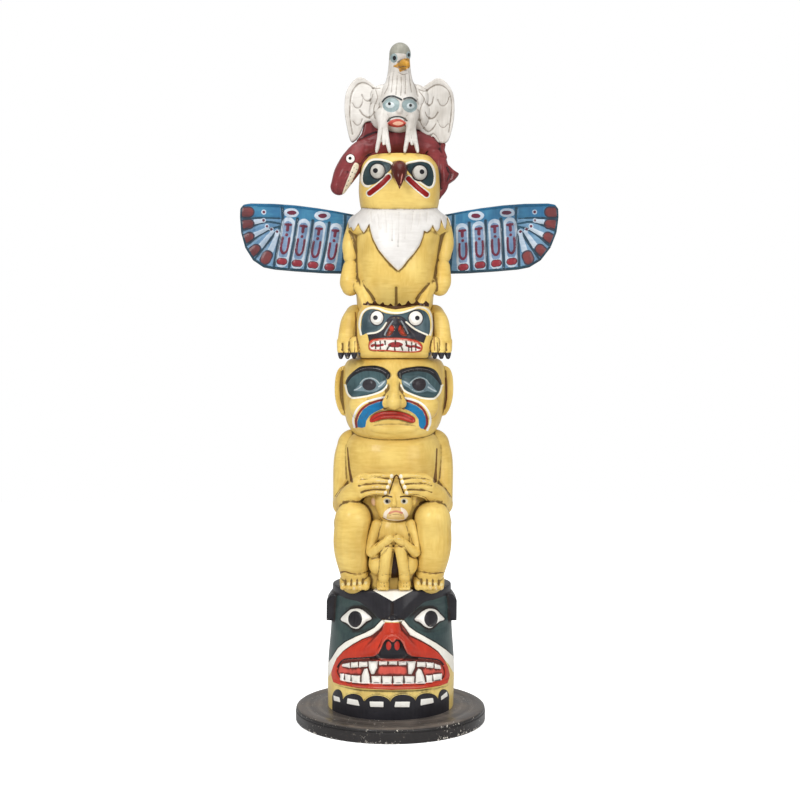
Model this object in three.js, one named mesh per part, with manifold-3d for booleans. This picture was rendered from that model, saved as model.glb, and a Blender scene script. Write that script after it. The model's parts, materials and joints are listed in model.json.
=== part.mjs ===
// A painted totem pole on a round base, cast as one column of stacked figures.
// From the bottom: a bear's face, a seated man who shelters a child, a cub, and a thunderbird.
// Two flat wings slot into the thunderbird's sides, a whale lies over its head, and an eagle
// stands on the whale.
// Millimetres, +Z up. The front faces -Y, and the origin is the centre of the base's underside.

import * as THREE from 'three';
import { mergeVertices } from 'three/addons/utils/BufferGeometryUtils.js';
import Module from 'manifold-3d';

const wasm = await Module();
wasm.setup();

// Driving dimensions
const BASE_RADIUS = 300;
const BASE_HEIGHT = 45;
const BLOCK_RADIUS = 200; // the bear's block, at the height of its mouth
const BLOCK_TOP = 428; // the ledge that the man's feet stand on
const CHIN = 905; // underside of the man's chin
const CROWN = 1142; // top of the man's head, where the cub lies
const WAIST = 1318; // narrow place between the cub and the thunderbird
const NECK = 1600; // underside of the thunderbird's head
const HEAD_TOP = 1765; // top of the thunderbird's head
const EAGLE_TOP = 2140; // tip of the eagle's crest, the highest point
const WING_LENGTH = 412; // from the inner end of a wing's tongue to its tip
const WING_THICKNESS = 26;
const JOINT_GAP = 0.3; // clearance left between pieces that meet on a curved seat

// The pole leans a little to its left hand as it rises, and its top stands slightly off the axis.
const LEAN_LOW = 14; // sideways shift at the waist
const LEAN_HIGH = 28; // sideways shift from the neck up

const SIDES = [-1, 1];

const COLOURS = {
  base_disc: 0x3a3634,
  pole: 0xe3be58,
  wing_left: 0x3f7fa6,
  wing_right: 0x3f7fa6,
  whale: 0x6e2226,
  eagle: 0xe9e4db,
};

// ---- Tools ----------------------------------------------------------------------------------

function lean(z) {
  if (z < WAIST) return (LEAN_LOW * z) / WAIST;
  const rise = THREE.MathUtils.smoothstep(z, WAIST, NECK);
  return LEAN_LOW + (LEAN_HIGH - LEAN_LOW) * rise;
}

// A closed three.js geometry as a solid for joining and cutting, turned right side out.
function solid(geometry) {
  const bare = geometry.index ? geometry.toNonIndexed() : geometry.clone();
  for (const name of Object.keys(bare.attributes)) {
    if (name !== 'position') bare.deleteAttribute(name);
  }
  const merged = mergeVertices(bare, 1e-3);
  const corners = merged.attributes.position.array;
  const raw = merged.index.array;
  const kept = [];
  let volume = 0;
  const at = (i) => new THREE.Vector3().fromArray(corners, 3 * i);
  for (let i = 0; i < raw.length; i += 3) {
    const [a, b, c] = [raw[i], raw[i + 1], raw[i + 2]];
    if (a === b || b === c || c === a) continue;
    kept.push(a, b, c);
    volume += at(a).dot(at(b).cross(at(c)));
  }
  if (volume < 0) {
    for (let i = 0; i < kept.length; i += 3) {
      [kept[i + 1], kept[i + 2]] = [kept[i + 2], kept[i + 1]];
    }
  }
  const mesh = new wasm.Mesh({
    numProp: 3,
    vertProperties: new Float32Array(corners),
    triVerts: new Uint32Array(kept),
  });
  return new wasm.Manifold(mesh);
}

function join(solids) {
  return solids.reduce((whole, next) => whole.add(next));
}

// An ellipsoid. turn is a rotation about X, Y and Z in degrees.
function ball(centre, radii, { turn = [0, 0, 0], around = 8, rings = 6 } = {}) {
  const shape = new THREE.SphereGeometry(1, around, rings);
  shape.rotateX(Math.PI / 2);
  shape.scale(...radii);
  const angles = turn.map(THREE.MathUtils.degToRad);
  shape.applyMatrix4(new THREE.Matrix4().makeRotationFromEuler(new THREE.Euler(...angles)));
  shape.translate(...centre);
  return solid(shape);
}

function block(low, high) {
  const size = high.map((value, i) => value - low[i]);
  const shape = new THREE.BoxGeometry(...size);
  shape.translate(...high.map((value, i) => (value + low[i]) / 2));
  return solid(shape);
}

// A round limb through stations [x, y, z, radius], with domed ends.
// flat thins it in depth, and front tells which way depth points.
function limb(stations, { around = 8, steps = 1, flat = 1, front = [0, 1, 0] } = {}) {
  const points = stations.map(([x, y, z]) => new THREE.Vector3(x, y, z));
  const curve = new THREE.CatmullRomCurve3(points, false, 'centripetal');
  const last = stations.length - 1;
  const radiusAt = (u) => {
    const i = Math.min(Math.floor(u * last), last - 1);
    return THREE.MathUtils.lerp(stations[i][3], stations[i + 1][3], u * last - i);
  };
  const rings = [];
  const domeAngles = [0, 45].map(THREE.MathUtils.degToRad);
  for (const a of domeAngles) rings.push({ u: 0, out: -Math.cos(a), wide: Math.sin(a) });
  const middle = steps * last;
  for (let i = 0; i <= middle; i += 1) rings.push({ u: i / middle, out: 0, wide: 1 });
  for (const a of [...domeAngles].reverse()) {
    rings.push({ u: 1, out: Math.cos(a), wide: Math.sin(a) });
  }
  const profile = rings.map((ring, i) => new THREE.Vector2(ring.wide, i));
  const shape = new THREE.LatheGeometry(profile, around);
  const position = shape.attributes.position;
  const depthAxis = new THREE.Vector3(...front);
  for (let i = 0; i < position.count; i += 1) {
    const ring = rings[Math.round(position.getY(i))];
    const centre = curve.getPoint(ring.u);
    const along = curve.getTangent(ring.u);
    const across = new THREE.Vector3().crossVectors(along, depthAxis).normalize();
    const deep = new THREE.Vector3().crossVectors(across, along);
    const radius = radiusAt(ring.u);
    centre.addScaledVector(along, ring.out * radius);
    centre.addScaledVector(across, position.getX(i) * radius);
    centre.addScaledVector(deep, position.getZ(i) * radius * flat);
    position.setXYZ(i, centre.x, centre.y, centre.z);
  }
  return solid(shape);
}

// An upright body of levels [z, half width, half depth, centre y]. square is 2 for an ellipse,
// and more for a boxy section.
function column(levels, { around = 20, square = 2 } = {}) {
  const profile = [new THREE.Vector2(0, 0)];
  levels.forEach((_, i) => profile.push(new THREE.Vector2(1, i)));
  profile.push(new THREE.Vector2(0, levels.length - 1));
  const shape = new THREE.LatheGeometry(profile, around);
  const position = shape.attributes.position;
  for (let i = 0; i < position.count; i += 1) {
    const [z, wide, deep, centre = 0] = levels[Math.round(position.getY(i))];
    const [s, c] = [position.getX(i), position.getZ(i)];
    const reach = Math.hypot(s, c);
    const swell = reach < 0.5 ? 0 : (Math.abs(s) ** square + Math.abs(c) ** square) ** (-1 / square);
    position.setXYZ(i, s * swell * wide, centre + c * swell * deep, z);
  }
  return solid(shape);
}

// An outline in the front plane, given as [x, z] points, from depth y = front to y = back.
// smooth draws one closed curve through the points; side -1 mirrors the outline.
function plate(outline, front, back, { smooth = 0, side = 1, bevel = 0 } = {}) {
  const points = outline.map(([x, z]) => new THREE.Vector2(x * side, z));
  const drawn = smooth ? new THREE.Shape(closedCurve(points, smooth)) : new THREE.Shape(points);
  const shape = new THREE.ExtrudeGeometry(drawn, {
    depth: back - front - 2 * bevel,
    steps: 1,
    bevelEnabled: bevel > 0,
    bevelThickness: bevel,
    bevelSize: bevel,
    bevelOffset: -bevel,
    bevelSegments: 1,
  });
  shape.rotateX(Math.PI / 2);
  shape.translate(0, back - bevel, 0);
  return solid(shape);
}

function closedCurve(points, count) {
  const curve = new THREE.CatmullRomCurve3(
    points.map((p) => new THREE.Vector3(p.x, p.y, 0)),
    true,
  );
  return curve.getPoints(count).slice(0, -1).map((p) => new THREE.Vector2(p.x, p.y));
}

// Draws together the ends of edges shorter than this, where the surface stays closed and no face
// turns over. It clears away the slivers that joins leave.
function tidy(body, shortest = 4) {
  const made = body.getMesh();
  const points = [];
  for (let i = 0; i < made.vertProperties.length; i += made.numProp) {
    points.push(new THREE.Vector3().fromArray(made.vertProperties, i));
  }
  const faces = [];
  const facesAt = points.map(() => new Set());
  for (let i = 0; i < made.triVerts.length; i += 3) {
    const face = Array.from(made.triVerts.slice(i, i + 3));
    face.forEach((corner) => facesAt[corner].add(faces.length));
    faces.push(face);
  }
  const neighbours = (v) => new Set([...facesAt[v]].flatMap((f) => faces[f]).filter((n) => n !== v));
  const normal = (corners) => {
    const [a, b, c] = corners;
    return b.clone().sub(a).cross(c.clone().sub(a));
  };
  const turnsOver = (from, to) => [...facesAt[from]].some((f) => {
    if (faces[f].includes(to)) return false;
    const before = normal(faces[f].map((v) => points[v]));
    const after = normal(faces[f].map((v) => points[v === from ? to : v]));
    return before.dot(after) <= 0.6 * before.length() * after.length();
  });
  const mayMerge = (from, to) => {
    const near = neighbours(to);
    const shared = [...neighbours(from)].filter((v) => near.has(v));
    return near.has(from) && shared.length === 2 && !turnsOver(from, to);
  };
  const merge = (from, to) => {
    for (const f of facesAt[from]) {
      if (faces[f].includes(to)) {
        faces[f].forEach((v) => v !== from && facesAt[v].delete(f));
        faces[f] = [];
      } else {
        faces[f] = faces[f].map((v) => (v === from ? to : v));
        facesAt[to].add(f);
      }
    }
    facesAt[from].clear();
  };
  const short = [];
  faces.forEach(([a, b, c]) => {
    for (const [from, to] of [[a, b], [b, c], [c, a]]) {
      const length = points[from].distanceTo(points[to]);
      if (from < to && length < shortest) short.push([length, from, to]);
    }
  });
  short.sort((a, b) => a[0] - b[0]);
  for (const [, a, b] of short) {
    if (mayMerge(a, b)) merge(a, b);
    else if (mayMerge(b, a)) merge(b, a);
  }
  const shape = new THREE.BufferGeometry();
  const corners = faces.flat().flatMap((v) => points[v].toArray());
  shape.setAttribute('position', new THREE.Float32BufferAttribute(corners, 3));
  return solid(shape);
}

// The named mesh of a solid. All but the base are shifted sideways by the lean.
function piece(name, body) {
  const made = body.getMesh();
  const position = Float32Array.from(made.vertProperties);
  if (name !== 'base_disc') {
    for (let i = 0; i < position.length; i += 3) position[i] += lean(position[i + 2]);
  }
  const geometry = new THREE.BufferGeometry();
  geometry.setAttribute('position', new THREE.BufferAttribute(position, 3));
  geometry.setIndex(new THREE.BufferAttribute(Uint32Array.from(made.triVerts), 1));
  geometry.computeVertexNormals();
  const finish = new THREE.MeshStandardMaterial({
    color: COLOURS[name],
    roughness: name === 'base_disc' ? 0.7 : 0.45,
    metalness: 0,
  });
  const mesh = new THREE.Mesh(geometry, finish);
  mesh.name = name;
  return mesh;
}

// ---- The bear's face, a round block ---------------------------------------------------------

const EYE_HEIGHT = 344;
const BEAR_EYE_X = 113;
const MOUTH_TOP = 222;
const MOUTH_BOTTOM = 142;
const MOUTH_CORNER = 172;

// The forehead leans back: the front draws in towards the block's top.
function bearColumn(swell, low = BASE_HEIGHT - 15, high = BLOCK_TOP) {
  const levels = [
    [low, BLOCK_RADIUS - 2, 0],
    [170, BLOCK_RADIUS, 0],
    [300, BLOCK_RADIUS - 9, 6],
    [high, BLOCK_RADIUS - 12, 28],
  ];
  return column(
    levels.map(([z, r, drawnIn]) => [z, r + swell, r + swell - drawnIn / 2, drawnIn / 2]),
    { around: 28 },
  );
}

// A raised or sunken layer of the block's front, inside an outline.
function bearRelief(outline, height, options = {}) {
  const stencil = plate(outline, -BLOCK_RADIUS - 60, 0, options);
  const layer = bearColumn(height, BASE_HEIGHT + 1, BLOCK_TOP - 1);
  return stencil.intersect(layer);
}

function bear() {
  const forms = [bearColumn(0)];
  // Black brows: a broad V that meets over the nose
  const brow = [
    [0, 398], [48, 427], [186, 427], [188, 398], [130, 404], [82, 386], [42, 352], [0, 342],
  ];
  for (const side of SIDES) {
    forms.push(bearRelief(brow, 12, { side }));
    // Ears: upright slabs on the block's sides
    const ear = plate([[150, 318], [205, 318], [205, 382], [192, 402], [150, 404]], -62, 56, { side });
    forms.push(ear);
    forms.push(bearEye(side));
  }
  // Muzzle: the swollen upper lip, and the nose that stands out of it
  const lip = [
    [-178, 212], [-150, 246], [-96, 278], [-46, 306], [0, 318],
    [46, 306], [96, 278], [150, 246], [178, 212], [120, 222], [0, 230], [-120, 222],
  ];
  forms.push(bearRelief(lip, 12, { smooth: 20 }));
  const nose = [[0, 340], [38, 328], [50, 280], [92, 236], [0, 226], [-92, 236], [-50, 280], [-38, 328]];
  const bulge = ball([0, -160, 268], [112, 78, 86], { around: 16, rings: 10 });
  forms.push(plate(nose, -260, -120, { smooth: 20 }).intersect(bulge));
  // Lower lip
  const lowerLip = [
    [-172, 172], [-100, 158], [0, 153], [100, 158], [172, 172],
    [174, 152], [100, 138], [0, 133], [-100, 138], [-174, 152],
  ];
  forms.push(bearRelief(lowerLip, 12, { smooth: 16 }));
  let body = join(forms);
  // Open mouth, with its teeth standing in it
  const mouth = [
    [-MOUTH_CORNER, 196], [-150, MOUTH_TOP - 6], [-60, MOUTH_TOP], [60, MOUTH_TOP],
    [150, MOUTH_TOP - 6], [MOUTH_CORNER, 196], [150, 160], [60, 153], [-60, 153], [-150, 160],
  ];
  const hollow = plate(mouth, -BLOCK_RADIUS - 80, 0, { smooth: 20 }).subtract(bearColumn(-12));
  body = body.subtract(hollow);
  return join([body, ...teeth()]);
}

function bearEye(side) {
  const lens = [
    [BEAR_EYE_X - 48, EYE_HEIGHT], [BEAR_EYE_X, EYE_HEIGHT + 31],
    [BEAR_EYE_X + 46, EYE_HEIGHT], [BEAR_EYE_X, EYE_HEIGHT - 30],
  ];
  return bearRelief(lens, 6, { smooth: 12, side });
}

// A tooth row is a band, and each canine is a wedge that crosses the gap.
function teeth() {
  const band = (low, high) => [[-156, low], [156, low], [156, high], [-156, high]];
  const rows = [bearRelief(band(203, 224), -1), bearRelief(band(150, 172), -1)];
  for (const side of SIDES) {
    rows.push(bearRelief([[50, 214], [76, 214], [66, 178], [60, 178]], 2, { side }));
    rows.push(bearRelief([[80, 158], [108, 158], [98, 196], [88, 196]], 2, { side }));
  }
  return rows;
}

// ---- The seated man and the child -----------------------------------------------------------

const KNEE_X = 122;
const SHOULDER_X = 143;

function seatedMan() {
  const forms = [
    column(
      [
        [BLOCK_TOP - 6, 150, 142, 8], [520, 156, 138, 14], [640, 160, 136, 14],
        [780, 158, 152, 4], [870, 154, 144, 4], [CHIN + 12, 120, 112, 6],
      ],
      { around: 20, square: 2.3 },
    ),
  ];
  for (const side of SIDES) {
    const x = (value) => side * value;
    // Shoulder and upper arm, then the forearm that comes forward over the knee
    forms.push(
      limb([[x(130), -4, 862, 54], [x(SHOULDER_X), -16, 810, 45], [x(148), -44, 690, 40]]),
    );
    forms.push(
      limb([[x(150), -64, 684, 38], [x(136), -118, 712, 34], [x(100), -156, 742, 29]]),
    );
    forms.push(ball([x(84), -168, 754], [40, 24, 34], { turn: [0, side * 12, 0] }));
    fingers(side).forEach((finger) => forms.push(finger));
    // Thigh, shin and foot
    forms.push(
      limb([[x(112), 30, 560, 66], [x(KNEE_X), -70, 620, 62], [x(KNEE_X), -132, 640, 56]]),
    );
    forms.push(
      limb([[x(KNEE_X), -134, 646, 56], [x(128), -138, 560, 53], [x(117), -120, 480, 44]]),
    );
    forms.push(...foot(x(112), 50, 60, 172));
  }
  return join(forms);
}

// Four fingers that point inwards, one above the other, and lean against the child's brow.
function fingers(side) {
  const made = [];
  for (let i = 0; i < 4; i += 1) {
    const z = 783 - 18 * i;
    const tip = 13 + 5.5 * i;
    made.push(
      limb([[side * 84, -176, z - 6, 10], [side * tip, -192, z - 1, 8]], { around: 5 }),
    );
  }
  return made;
}

// A foot: a low dome that ends in a row of toes, and the toes' front outline is a row of arcs.
function foot(x, halfWidth, height, toeTip) {
  const toes = 5;
  const pitch = (2 * halfWidth) / toes;
  const outline = [[x - halfWidth, BLOCK_TOP - 4]];
  for (let i = 0; i < toes; i += 1) {
    for (const turn of [0.1, 0.35, 0.65, 0.9]) {
      const across = x - halfWidth + pitch * (i + turn);
      outline.push([across, BLOCK_TOP + height * (0.2 + 0.22 * Math.sin(Math.PI * turn))]);
    }
  }
  outline.push([x + halfWidth, BLOCK_TOP - 4]);
  const instep = ball([x, -toeTip + 66, BLOCK_TOP + 14], [halfWidth * 0.92, 62, height * 0.66]);
  return [instep, plate(outline, -toeTip, -toeTip + 46)];
}

const CHILD_DEPTH = -142;

function child() {
  const y = CHILD_DEPTH;
  const forms = [
    ball([0, y - 4, 700], [57, 46, 70], { around: 12, rings: 9 }), // head
    ball([0, y + 6, 600], [58, 38, 62], { around: 10 }), // trunk
    ball([0, y + 18, 520], [62, 34, 60]), // hips
    limb([[0, y - 44, 716, 6], [0, y - 56, 692, 10]], { around: 5 }), // nose
  ];
  for (const side of SIDES) {
    const x = (value) => side * value;
    forms.push(ball([x(60), y + 4, 706], [10, 14, 24], { around: 6, rings: 4 })); // ear
    forms.push(
      limb([[x(52), y - 8, 632, 16], [x(68), y - 12, 580, 16], [x(70), y - 20, 548, 17]], {
        around: 8,
        steps: 2,
      }),
    );
    forms.push(
      limb([[x(68), y - 26, 546, 15], [x(38), y - 46, 572, 13], [x(10), y - 54, 592, 13]], {
        around: 8,
        steps: 2,
      }),
    );
    forms.push(
      limb([[x(24), y - 40, 562, 19], [x(32), y - 32, 520, 17], [x(36), y - 16, 462, 18]]),
    );
    forms.push(ball([x(54), y - 8, 510], [22, 30, 36], { around: 6, rings: 4 })); // thigh
    forms.push(ball([x(34), y + 22, BLOCK_TOP + 10], [30, 54, 24], { around: 10 }));
  }
  return join(forms);
}

// ---- The man's head -------------------------------------------------------------------------

function manHead() {
  const forms = [
    column(
      [
        [CHIN, 92, 118, -18], [CHIN + 12, 122, 146, -14], [940, 147, 158, -12], [990, 157, 164, -12],
        [1050, 161, 168, -10], [1100, 160, 166, -8], [1130, 150, 158, -4], [CROWN, 128, 140, 0],
      ],
      { around: 20, square: 2.3 },
    ),
    // Nose, with its wings
    limb([[0, -172, 1088, 10], [0, -188, 1046, 16], [0, -200, 1008, 24]], { around: 8 }),
  ];
  for (const side of SIDES) {
    const x = (value) => side * value;
    forms.push(ball([x(24), -188, 1000], [15, 16, 13], { around: 6, rings: 4 }));
    // Brow ridge, eyeball and ear
    forms.push(
      limb(
        [[x(16), -172, 1088, 9], [x(60), -168, 1114, 10], [x(110), -136, 1104, 9], [x(140), -98, 1070, 8]],
        { around: 5 },
      ),
    );
    forms.push(ball([x(74), -140, 1054], [26, 22, 22], { around: 8, rings: 6 }));
    const ear = [[150, 1100], [172, 1112], [186, 1080], [187, 1020], [174, 974], [154, 966]];
    forms.push(plate(ear, -34, 30, { side, smooth: 14, bevel: 5 }));
  }
  forms.push(
    limb([[-66, -148, 952, 8], [-34, -172, 966, 11], [0, -180, 971, 12], [34, -172, 966, 11], [66, -148, 952, 8]], {
      around: 8,
      steps: 2,
      front: [0, 1, 0],
    }),
  );
  forms.push(ball([0, -146, 924], [74, 34, 24])); // chin
  let body = join(forms);
  for (const side of SIDES) {
    const hollow = ball([side * 190, -36, 1040], [14, 16, 46], { around: 8, rings: 7 });
    body = body.subtract(hollow);
  }
  return body;
}

// ---- The cub --------------------------------------------------------------------------------

const CUB_MUZZLE = [0, -150, 1196];

function cub() {
  const head = column(
    [
      [CROWN - 4, 104, 60, -110], [CROWN + 12, 114, 72, -110], [1220, 118, 80, -110],
      [1270, 116, 78, -106], [1296, 104, 62, -98],
    ],
    { around: 20, square: 3.4 },
  );
  const forms = [head];
  // Muzzle and nose
  forms.push(ball(CUB_MUZZLE, [88, 56, 58], { around: 12, rings: 8 }));
  forms.push(limb([[0, -182, 1258, 12], [0, -194, 1224, 26]], { around: 8, flat: 0.8 }));
  for (const side of SIDES) {
    const x = (value) => side * value;
    // Brow hump, eyeball, arm, paw and claws
    forms.push(ball([x(60), -124, 1270], [56, 58, 32], { around: 12, rings: 8 }));
    forms.push(ball([x(59), -172, 1258], [21, 20, 21], { around: 8, rings: 6 }));
    forms.push(
      limb([[x(124), -10, 1276, 34], [x(140), -62, 1248, 30], [x(146), -100, 1190, 31]]),
    );
    for (let i = 0; i < 3; i += 1) {
      const across = 122 + 21 * i;
      const depth = -150 + 16 * i;
      forms.push(
        limb([[x(across), depth + 16, 1190, 15], [x(across), depth - 8, 1166, 13]], { around: 6 }),
      );
      forms.push(
        limb([[x(across), depth - 14, 1156, 8], [x(across), depth - 26, 1141, 3]], { around: 4 }),
      );
    }
  }
  // Lips that wrap round the muzzle, parted over clenched teeth
  const lips = [[-78, 1196], [78, 1196], [88, 1176], [74, 1156], [-74, 1156], [-88, 1176]];
  const gape = [[-70, 1188], [70, 1188], [78, 1176], [66, 1164], [-66, 1164], [-78, 1176]];
  const swollen = ball(CUB_MUZZLE, [102, 64, 62], { around: 16, rings: 8 });
  const teeth = ball(CUB_MUZZLE, [98, 60, 58], { around: 16, rings: 8 });
  const ring = plate(lips, -260, -100).intersect(swollen);
  return join(forms).add(ring.subtract(plate(gape, -260, -100).subtract(teeth)));
}

// ---- The thunderbird ------------------------------------------------------------------------

const RUFF_EDGE = 1552;

function thunderbird() {
  const forms = [
    column(
      [
        [CROWN - 10, 120, 120, 10], [1220, 118, 112, 20], [WAIST, 121, 128, 4],
        [1370, 126, 146, -4], [1450, 130, 152, -6], [1520, 138, 150, -4],
        [1570, 146, 140, 0], [NECK + 12, 122, 118, 0],
      ],
      { around: 20, square: 2.4 },
    ),
  ];
  // White ruff: a flared collar with a jagged hem, and its long bib
  const bib = [[-112, 1590], [112, 1590], [98, 1500], [0, 1410], [-98, 1500]];
  forms.push(plate(bib, -158, -60).intersect(thunderbirdCoat(6)));
  const points = 9;
  const hem = [];
  for (let i = 0; i <= 2 * points; i += 1) {
    const x = -180 + (360 * i) / (2 * points);
    hem.push([x, i % 2 ? RUFF_EDGE - 30 : RUFF_EDGE]);
  }
  const collar = [[-180, NECK + 8], ...hem, [180, NECK + 8]];
  forms.push(plate(collar, -200, 200).intersect(thunderbirdCoat(6)));
  for (const side of SIDES) {
    const x = (value) => side * value;
    // Folded arm in two swellings, and the drawn-up leg below it
    forms.push(
      limb([[x(128), -24, 1556, 36], [x(142), -34, 1500, 34], [x(143), -40, 1462, 27]]),
    );
    forms.push(
      limb([[x(142), -44, 1424, 27], [x(144), -52, 1380, 31], [x(140), -52, 1362, 28]]),
    );
    forms.push(
      limb([[x(112), -62, 1372, 22], [x(94), -96, 1334, 22], [x(84), -108, 1300, 20]]),
    );
  }
  forms.push(...thunderbirdHead());
  return join(forms);
}

// The thunderbird's breast and shoulders as the ruff follows them.
function thunderbirdCoat(swell) {
  return column(
    [
      [1400, 128 + swell, 151 + swell, -5], [1500, 138 + swell, 151 + swell, -4],
      [1530, 170 + swell, 148 + swell, -2], [1560, 166 + swell, 142 + swell, 0],
      [1590, 146 + swell, 128 + swell, 0], [NECK + 8, 124 + swell, 118 + swell, 0],
    ],
    { around: 20, square: 2.2 },
  );
}

function headColumn(swell) {
  return column(
    [
      [NECK - 6, 118 + swell, 128 + swell, -8], [NECK + 14, 129 + swell, 140 + swell, -8],
      [1690, 128 + swell, 142 + swell, -8], [1740, 118 + swell, 134 + swell, -6],
      [HEAD_TOP + swell, 96 + swell, 108 + swell, 0],
    ],
    { around: 20, square: 2.7 },
  );
}

function thunderbirdHead() {
  const forms = [headColumn(0)];
  // Hooked beak
  forms.push(
    limb([[0, -140, 1722, 22], [0, -176, 1706, 24], [0, -196, 1682, 17], [0, -196, 1656, 6]], {
      around: 10,
      front: [0, 0, 1],
    }),
  );
  for (const side of SIDES) {
    const x = (value) => side * value;
    forms.push(ball([x(66), -122, 1706], [24, 24, 24], { around: 8, rings: 6 }));
    forms.push(
      limb([[x(22), -150, 1728, 8], [x(66), -146, 1738, 9], [x(108), -108, 1716, 8]], {
        around: 6,
        steps: 2,
      }),
    );
    const gape = [[24, 1698], [34, 1704], [104, 1640], [92, 1628]];
    forms.push(plate(gape, -200, -60, { side }).intersect(headColumn(4)));
  }
  return forms;
}

// ---- The wings ------------------------------------------------------------------------------

const TONGUE_X = 96; // inner end of the wing's tongue, inside the thunderbird
const WING_Y = 4; // depth of the wing's front face
const TONGUE_LOW = 1440;
const TONGUE_HIGH = 1570;

// A wing's outline, from the shoulder to the rounded tip and back along the feather ends.
function wingOutline() {
  const tip = TONGUE_X + WING_LENGTH;
  const line = new THREE.Shape();
  line.moveTo(TONGUE_X, TONGUE_LOW);
  line.lineTo(TONGUE_X, TONGUE_HIGH);
  line.lineTo(138, TONGUE_HIGH);
  line.lineTo(138, 1596);
  line.bezierCurveTo(200, 1612, 300, 1634, tip - 34, 1634);
  line.bezierCurveTo(tip - 4, 1634, tip, 1626, tip, 1590);
  line.bezierCurveTo(tip, 1500, tip - 52, 1438, tip - 120, 1424);
  line.bezierCurveTo(tip - 180, 1414, 230, 1408, 138, 1408);
  line.lineTo(138, TONGUE_LOW);
  return line.getPoints(6).map((p) => [p.x, p.y]);
}

function wing(side) {
  return plate(wingOutline(), WING_Y, WING_Y + WING_THICKNESS, { side, bevel: 3 });
}

// The slot in the thunderbird's side that holds a wing's tongue.
function wingSlot(side) {
  const gap = JOINT_GAP;
  const low = [TONGUE_X - 4, WING_Y - gap, 1408 - 8];
  const high = [260, WING_Y + WING_THICKNESS + gap, 1634];
  const xs = [side * low[0], side * high[0]].sort((a, b) => a - b);
  return block([xs[0], low[1], low[2]], [xs[1], high[1], high[2]]);
}

// ---- The whale and the eagle ----------------------------------------------------------------

const WHALE_SPINE = [
  [-178, -66, 1672, 30], [-170, -62, 1716, 43], [-140, -40, 1778, 44], [-84, -16, 1826, 48],
  [0, 0, 1822, 48], [84, 0, 1806, 46], [134, -4, 1760, 36], [150, -8, 1700, 28],
  [134, -10, 1656, 16],
];

function whaleTube(swell) {
  const stations = WHALE_SPINE.map(([x, y, z, radius]) => [x, y, z, radius + swell]);
  return limb(stations, { around: 12, flat: 1.15 });
}

function whaleBody() {
  const forms = [
    whaleTube(0),
    // Hump under the eagle's wing, and the two fins of the tail
    plate([[-118, 1800], [-112, 1882], [-76, 1884], [-58, 1840], [-60, 1800]], -2, 34, { bevel: 6 }),
    plate([[110, 1780], [122, 1812], [146, 1806], [150, 1786], [150, 1750]], -24, 16, { bevel: 4 }),
    plate([[140, 1740], [168, 1724], [190, 1716], [184, 1696], [158, 1684], [140, 1690]], -26, 14, {
      bevel: 5,
      smooth: 14,
    }),
  ];
  return join(forms);
}

function whale() {
  const mouth = plate([[-134, 1740], [-158, 1706], [-172, 1642], [-160, 1642], [-142, 1700]], -140, -92);
  return whaleBody().subtract(headColumn(JOINT_GAP)).subtract(mouth);
}

function eagle() {
  const forms = [
    ball([0, -40, 1930], [64, 52, 88], { around: 12, rings: 8 }), // breast
    limb([[0, -30, 1990, 44], [0, -30, 2040, 36], [0, -34, 2092, 34]], { around: 9 }), // neck
    ball([2, -44, 2098], [36, 42, 38], { around: 10, rings: 7 }), // head
    limb([[0, -28, 2128, 8], [-8, -14, EAGLE_TOP - 4, 4]], { around: 5 }), // crest
    limb([[14, -70, 2056, 16], [22, -92, 2050, 12], [24, -100, 2032, 5]], {
      around: 8,
      front: [0, 0, 1],
    }),
    limb([[-26, -80, 1864, 6], [0, -90, 1874, 9], [26, -80, 1864, 6]], { around: 5 }), // lip
    limb([[0, -88, 1936, 5], [0, -96, 1902, 9]], { around: 5 }), // nose
  ];
  for (const side of SIDES) {
    const x = (value) => side * value;
    const wingEdge = [
      [34, 2000], [72, 1998], [100, 2014], [120, 2026], [142, 2014], [164, 1978], [170, 1930],
      [166, 1880], [152, 1822], [132, 1842], [112, 1826], [92, 1850], [70, 1852], [44, 1880],
    ];
    forms.push(plate(wingEdge, -34, -6, { side, smooth: 26, bevel: 5 }));
    forms.push(ball([x(50), -32, 1962], [32, 24, 44], { around: 8 })); // shoulder
    forms.push(ball([x(30), -84, 1925], [15, 10, 12], { around: 6, rings: 4 })); // chest eye
    forms.push(
      limb([[x(36), -62, 1890, 24], [x(38), -86, 1846, 17], [x(38), -98, 1806, 14]], { around: 6 }),
    );
    for (const toe of [-1, 1]) {
      forms.push(
        limb(
          [
            [x(38) + toe * 4, -98, 1812, 12],
            [x(38) + toe * 15, -118, 1784, 10],
            [x(38) + toe * 18, -124, 1768, 6],
          ],
          { around: 5 },
        ),
      );
    }
  }
  return tidy(tidy(join(forms))).subtract(headColumn(JOINT_GAP)).subtract(whaleTube(2 * JOINT_GAP));
}

// ---- The base -------------------------------------------------------------------------------

function baseDisc() {
  const edge = 8;
  const profile = [
    new THREE.Vector2(0, 0),
    new THREE.Vector2(BASE_RADIUS - 3, 0),
    new THREE.Vector2(BASE_RADIUS, 3),
    new THREE.Vector2(BASE_RADIUS, BASE_HEIGHT - 16),
  ];
  for (let i = 0; i <= 2; i += 1) {
    const turn = (i * Math.PI) / 4;
    profile.push(
      new THREE.Vector2(
        BASE_RADIUS - edge - 4 + edge * Math.cos(turn),
        BASE_HEIGHT - edge + edge * Math.sin(turn),
      ),
    );
  }
  profile.push(new THREE.Vector2(0, BASE_HEIGHT));
  const shape = new THREE.LatheGeometry(profile, 36);
  shape.rotateX(Math.PI / 2);
  return solid(shape);
}

// ---- The whole object -----------------------------------------------------------------------

function pole() {
  const figures = [bear(), seatedMan(), child(), manHead(), cub(), thunderbird()];
  let body = tidy(tidy(join(figures), 6), 6);
  for (const side of SIDES) body = body.subtract(wingSlot(side));
  const below = block([-400, -400, -100], [400, 400, BASE_HEIGHT]);
  return body.subtract(below);
}

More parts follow.
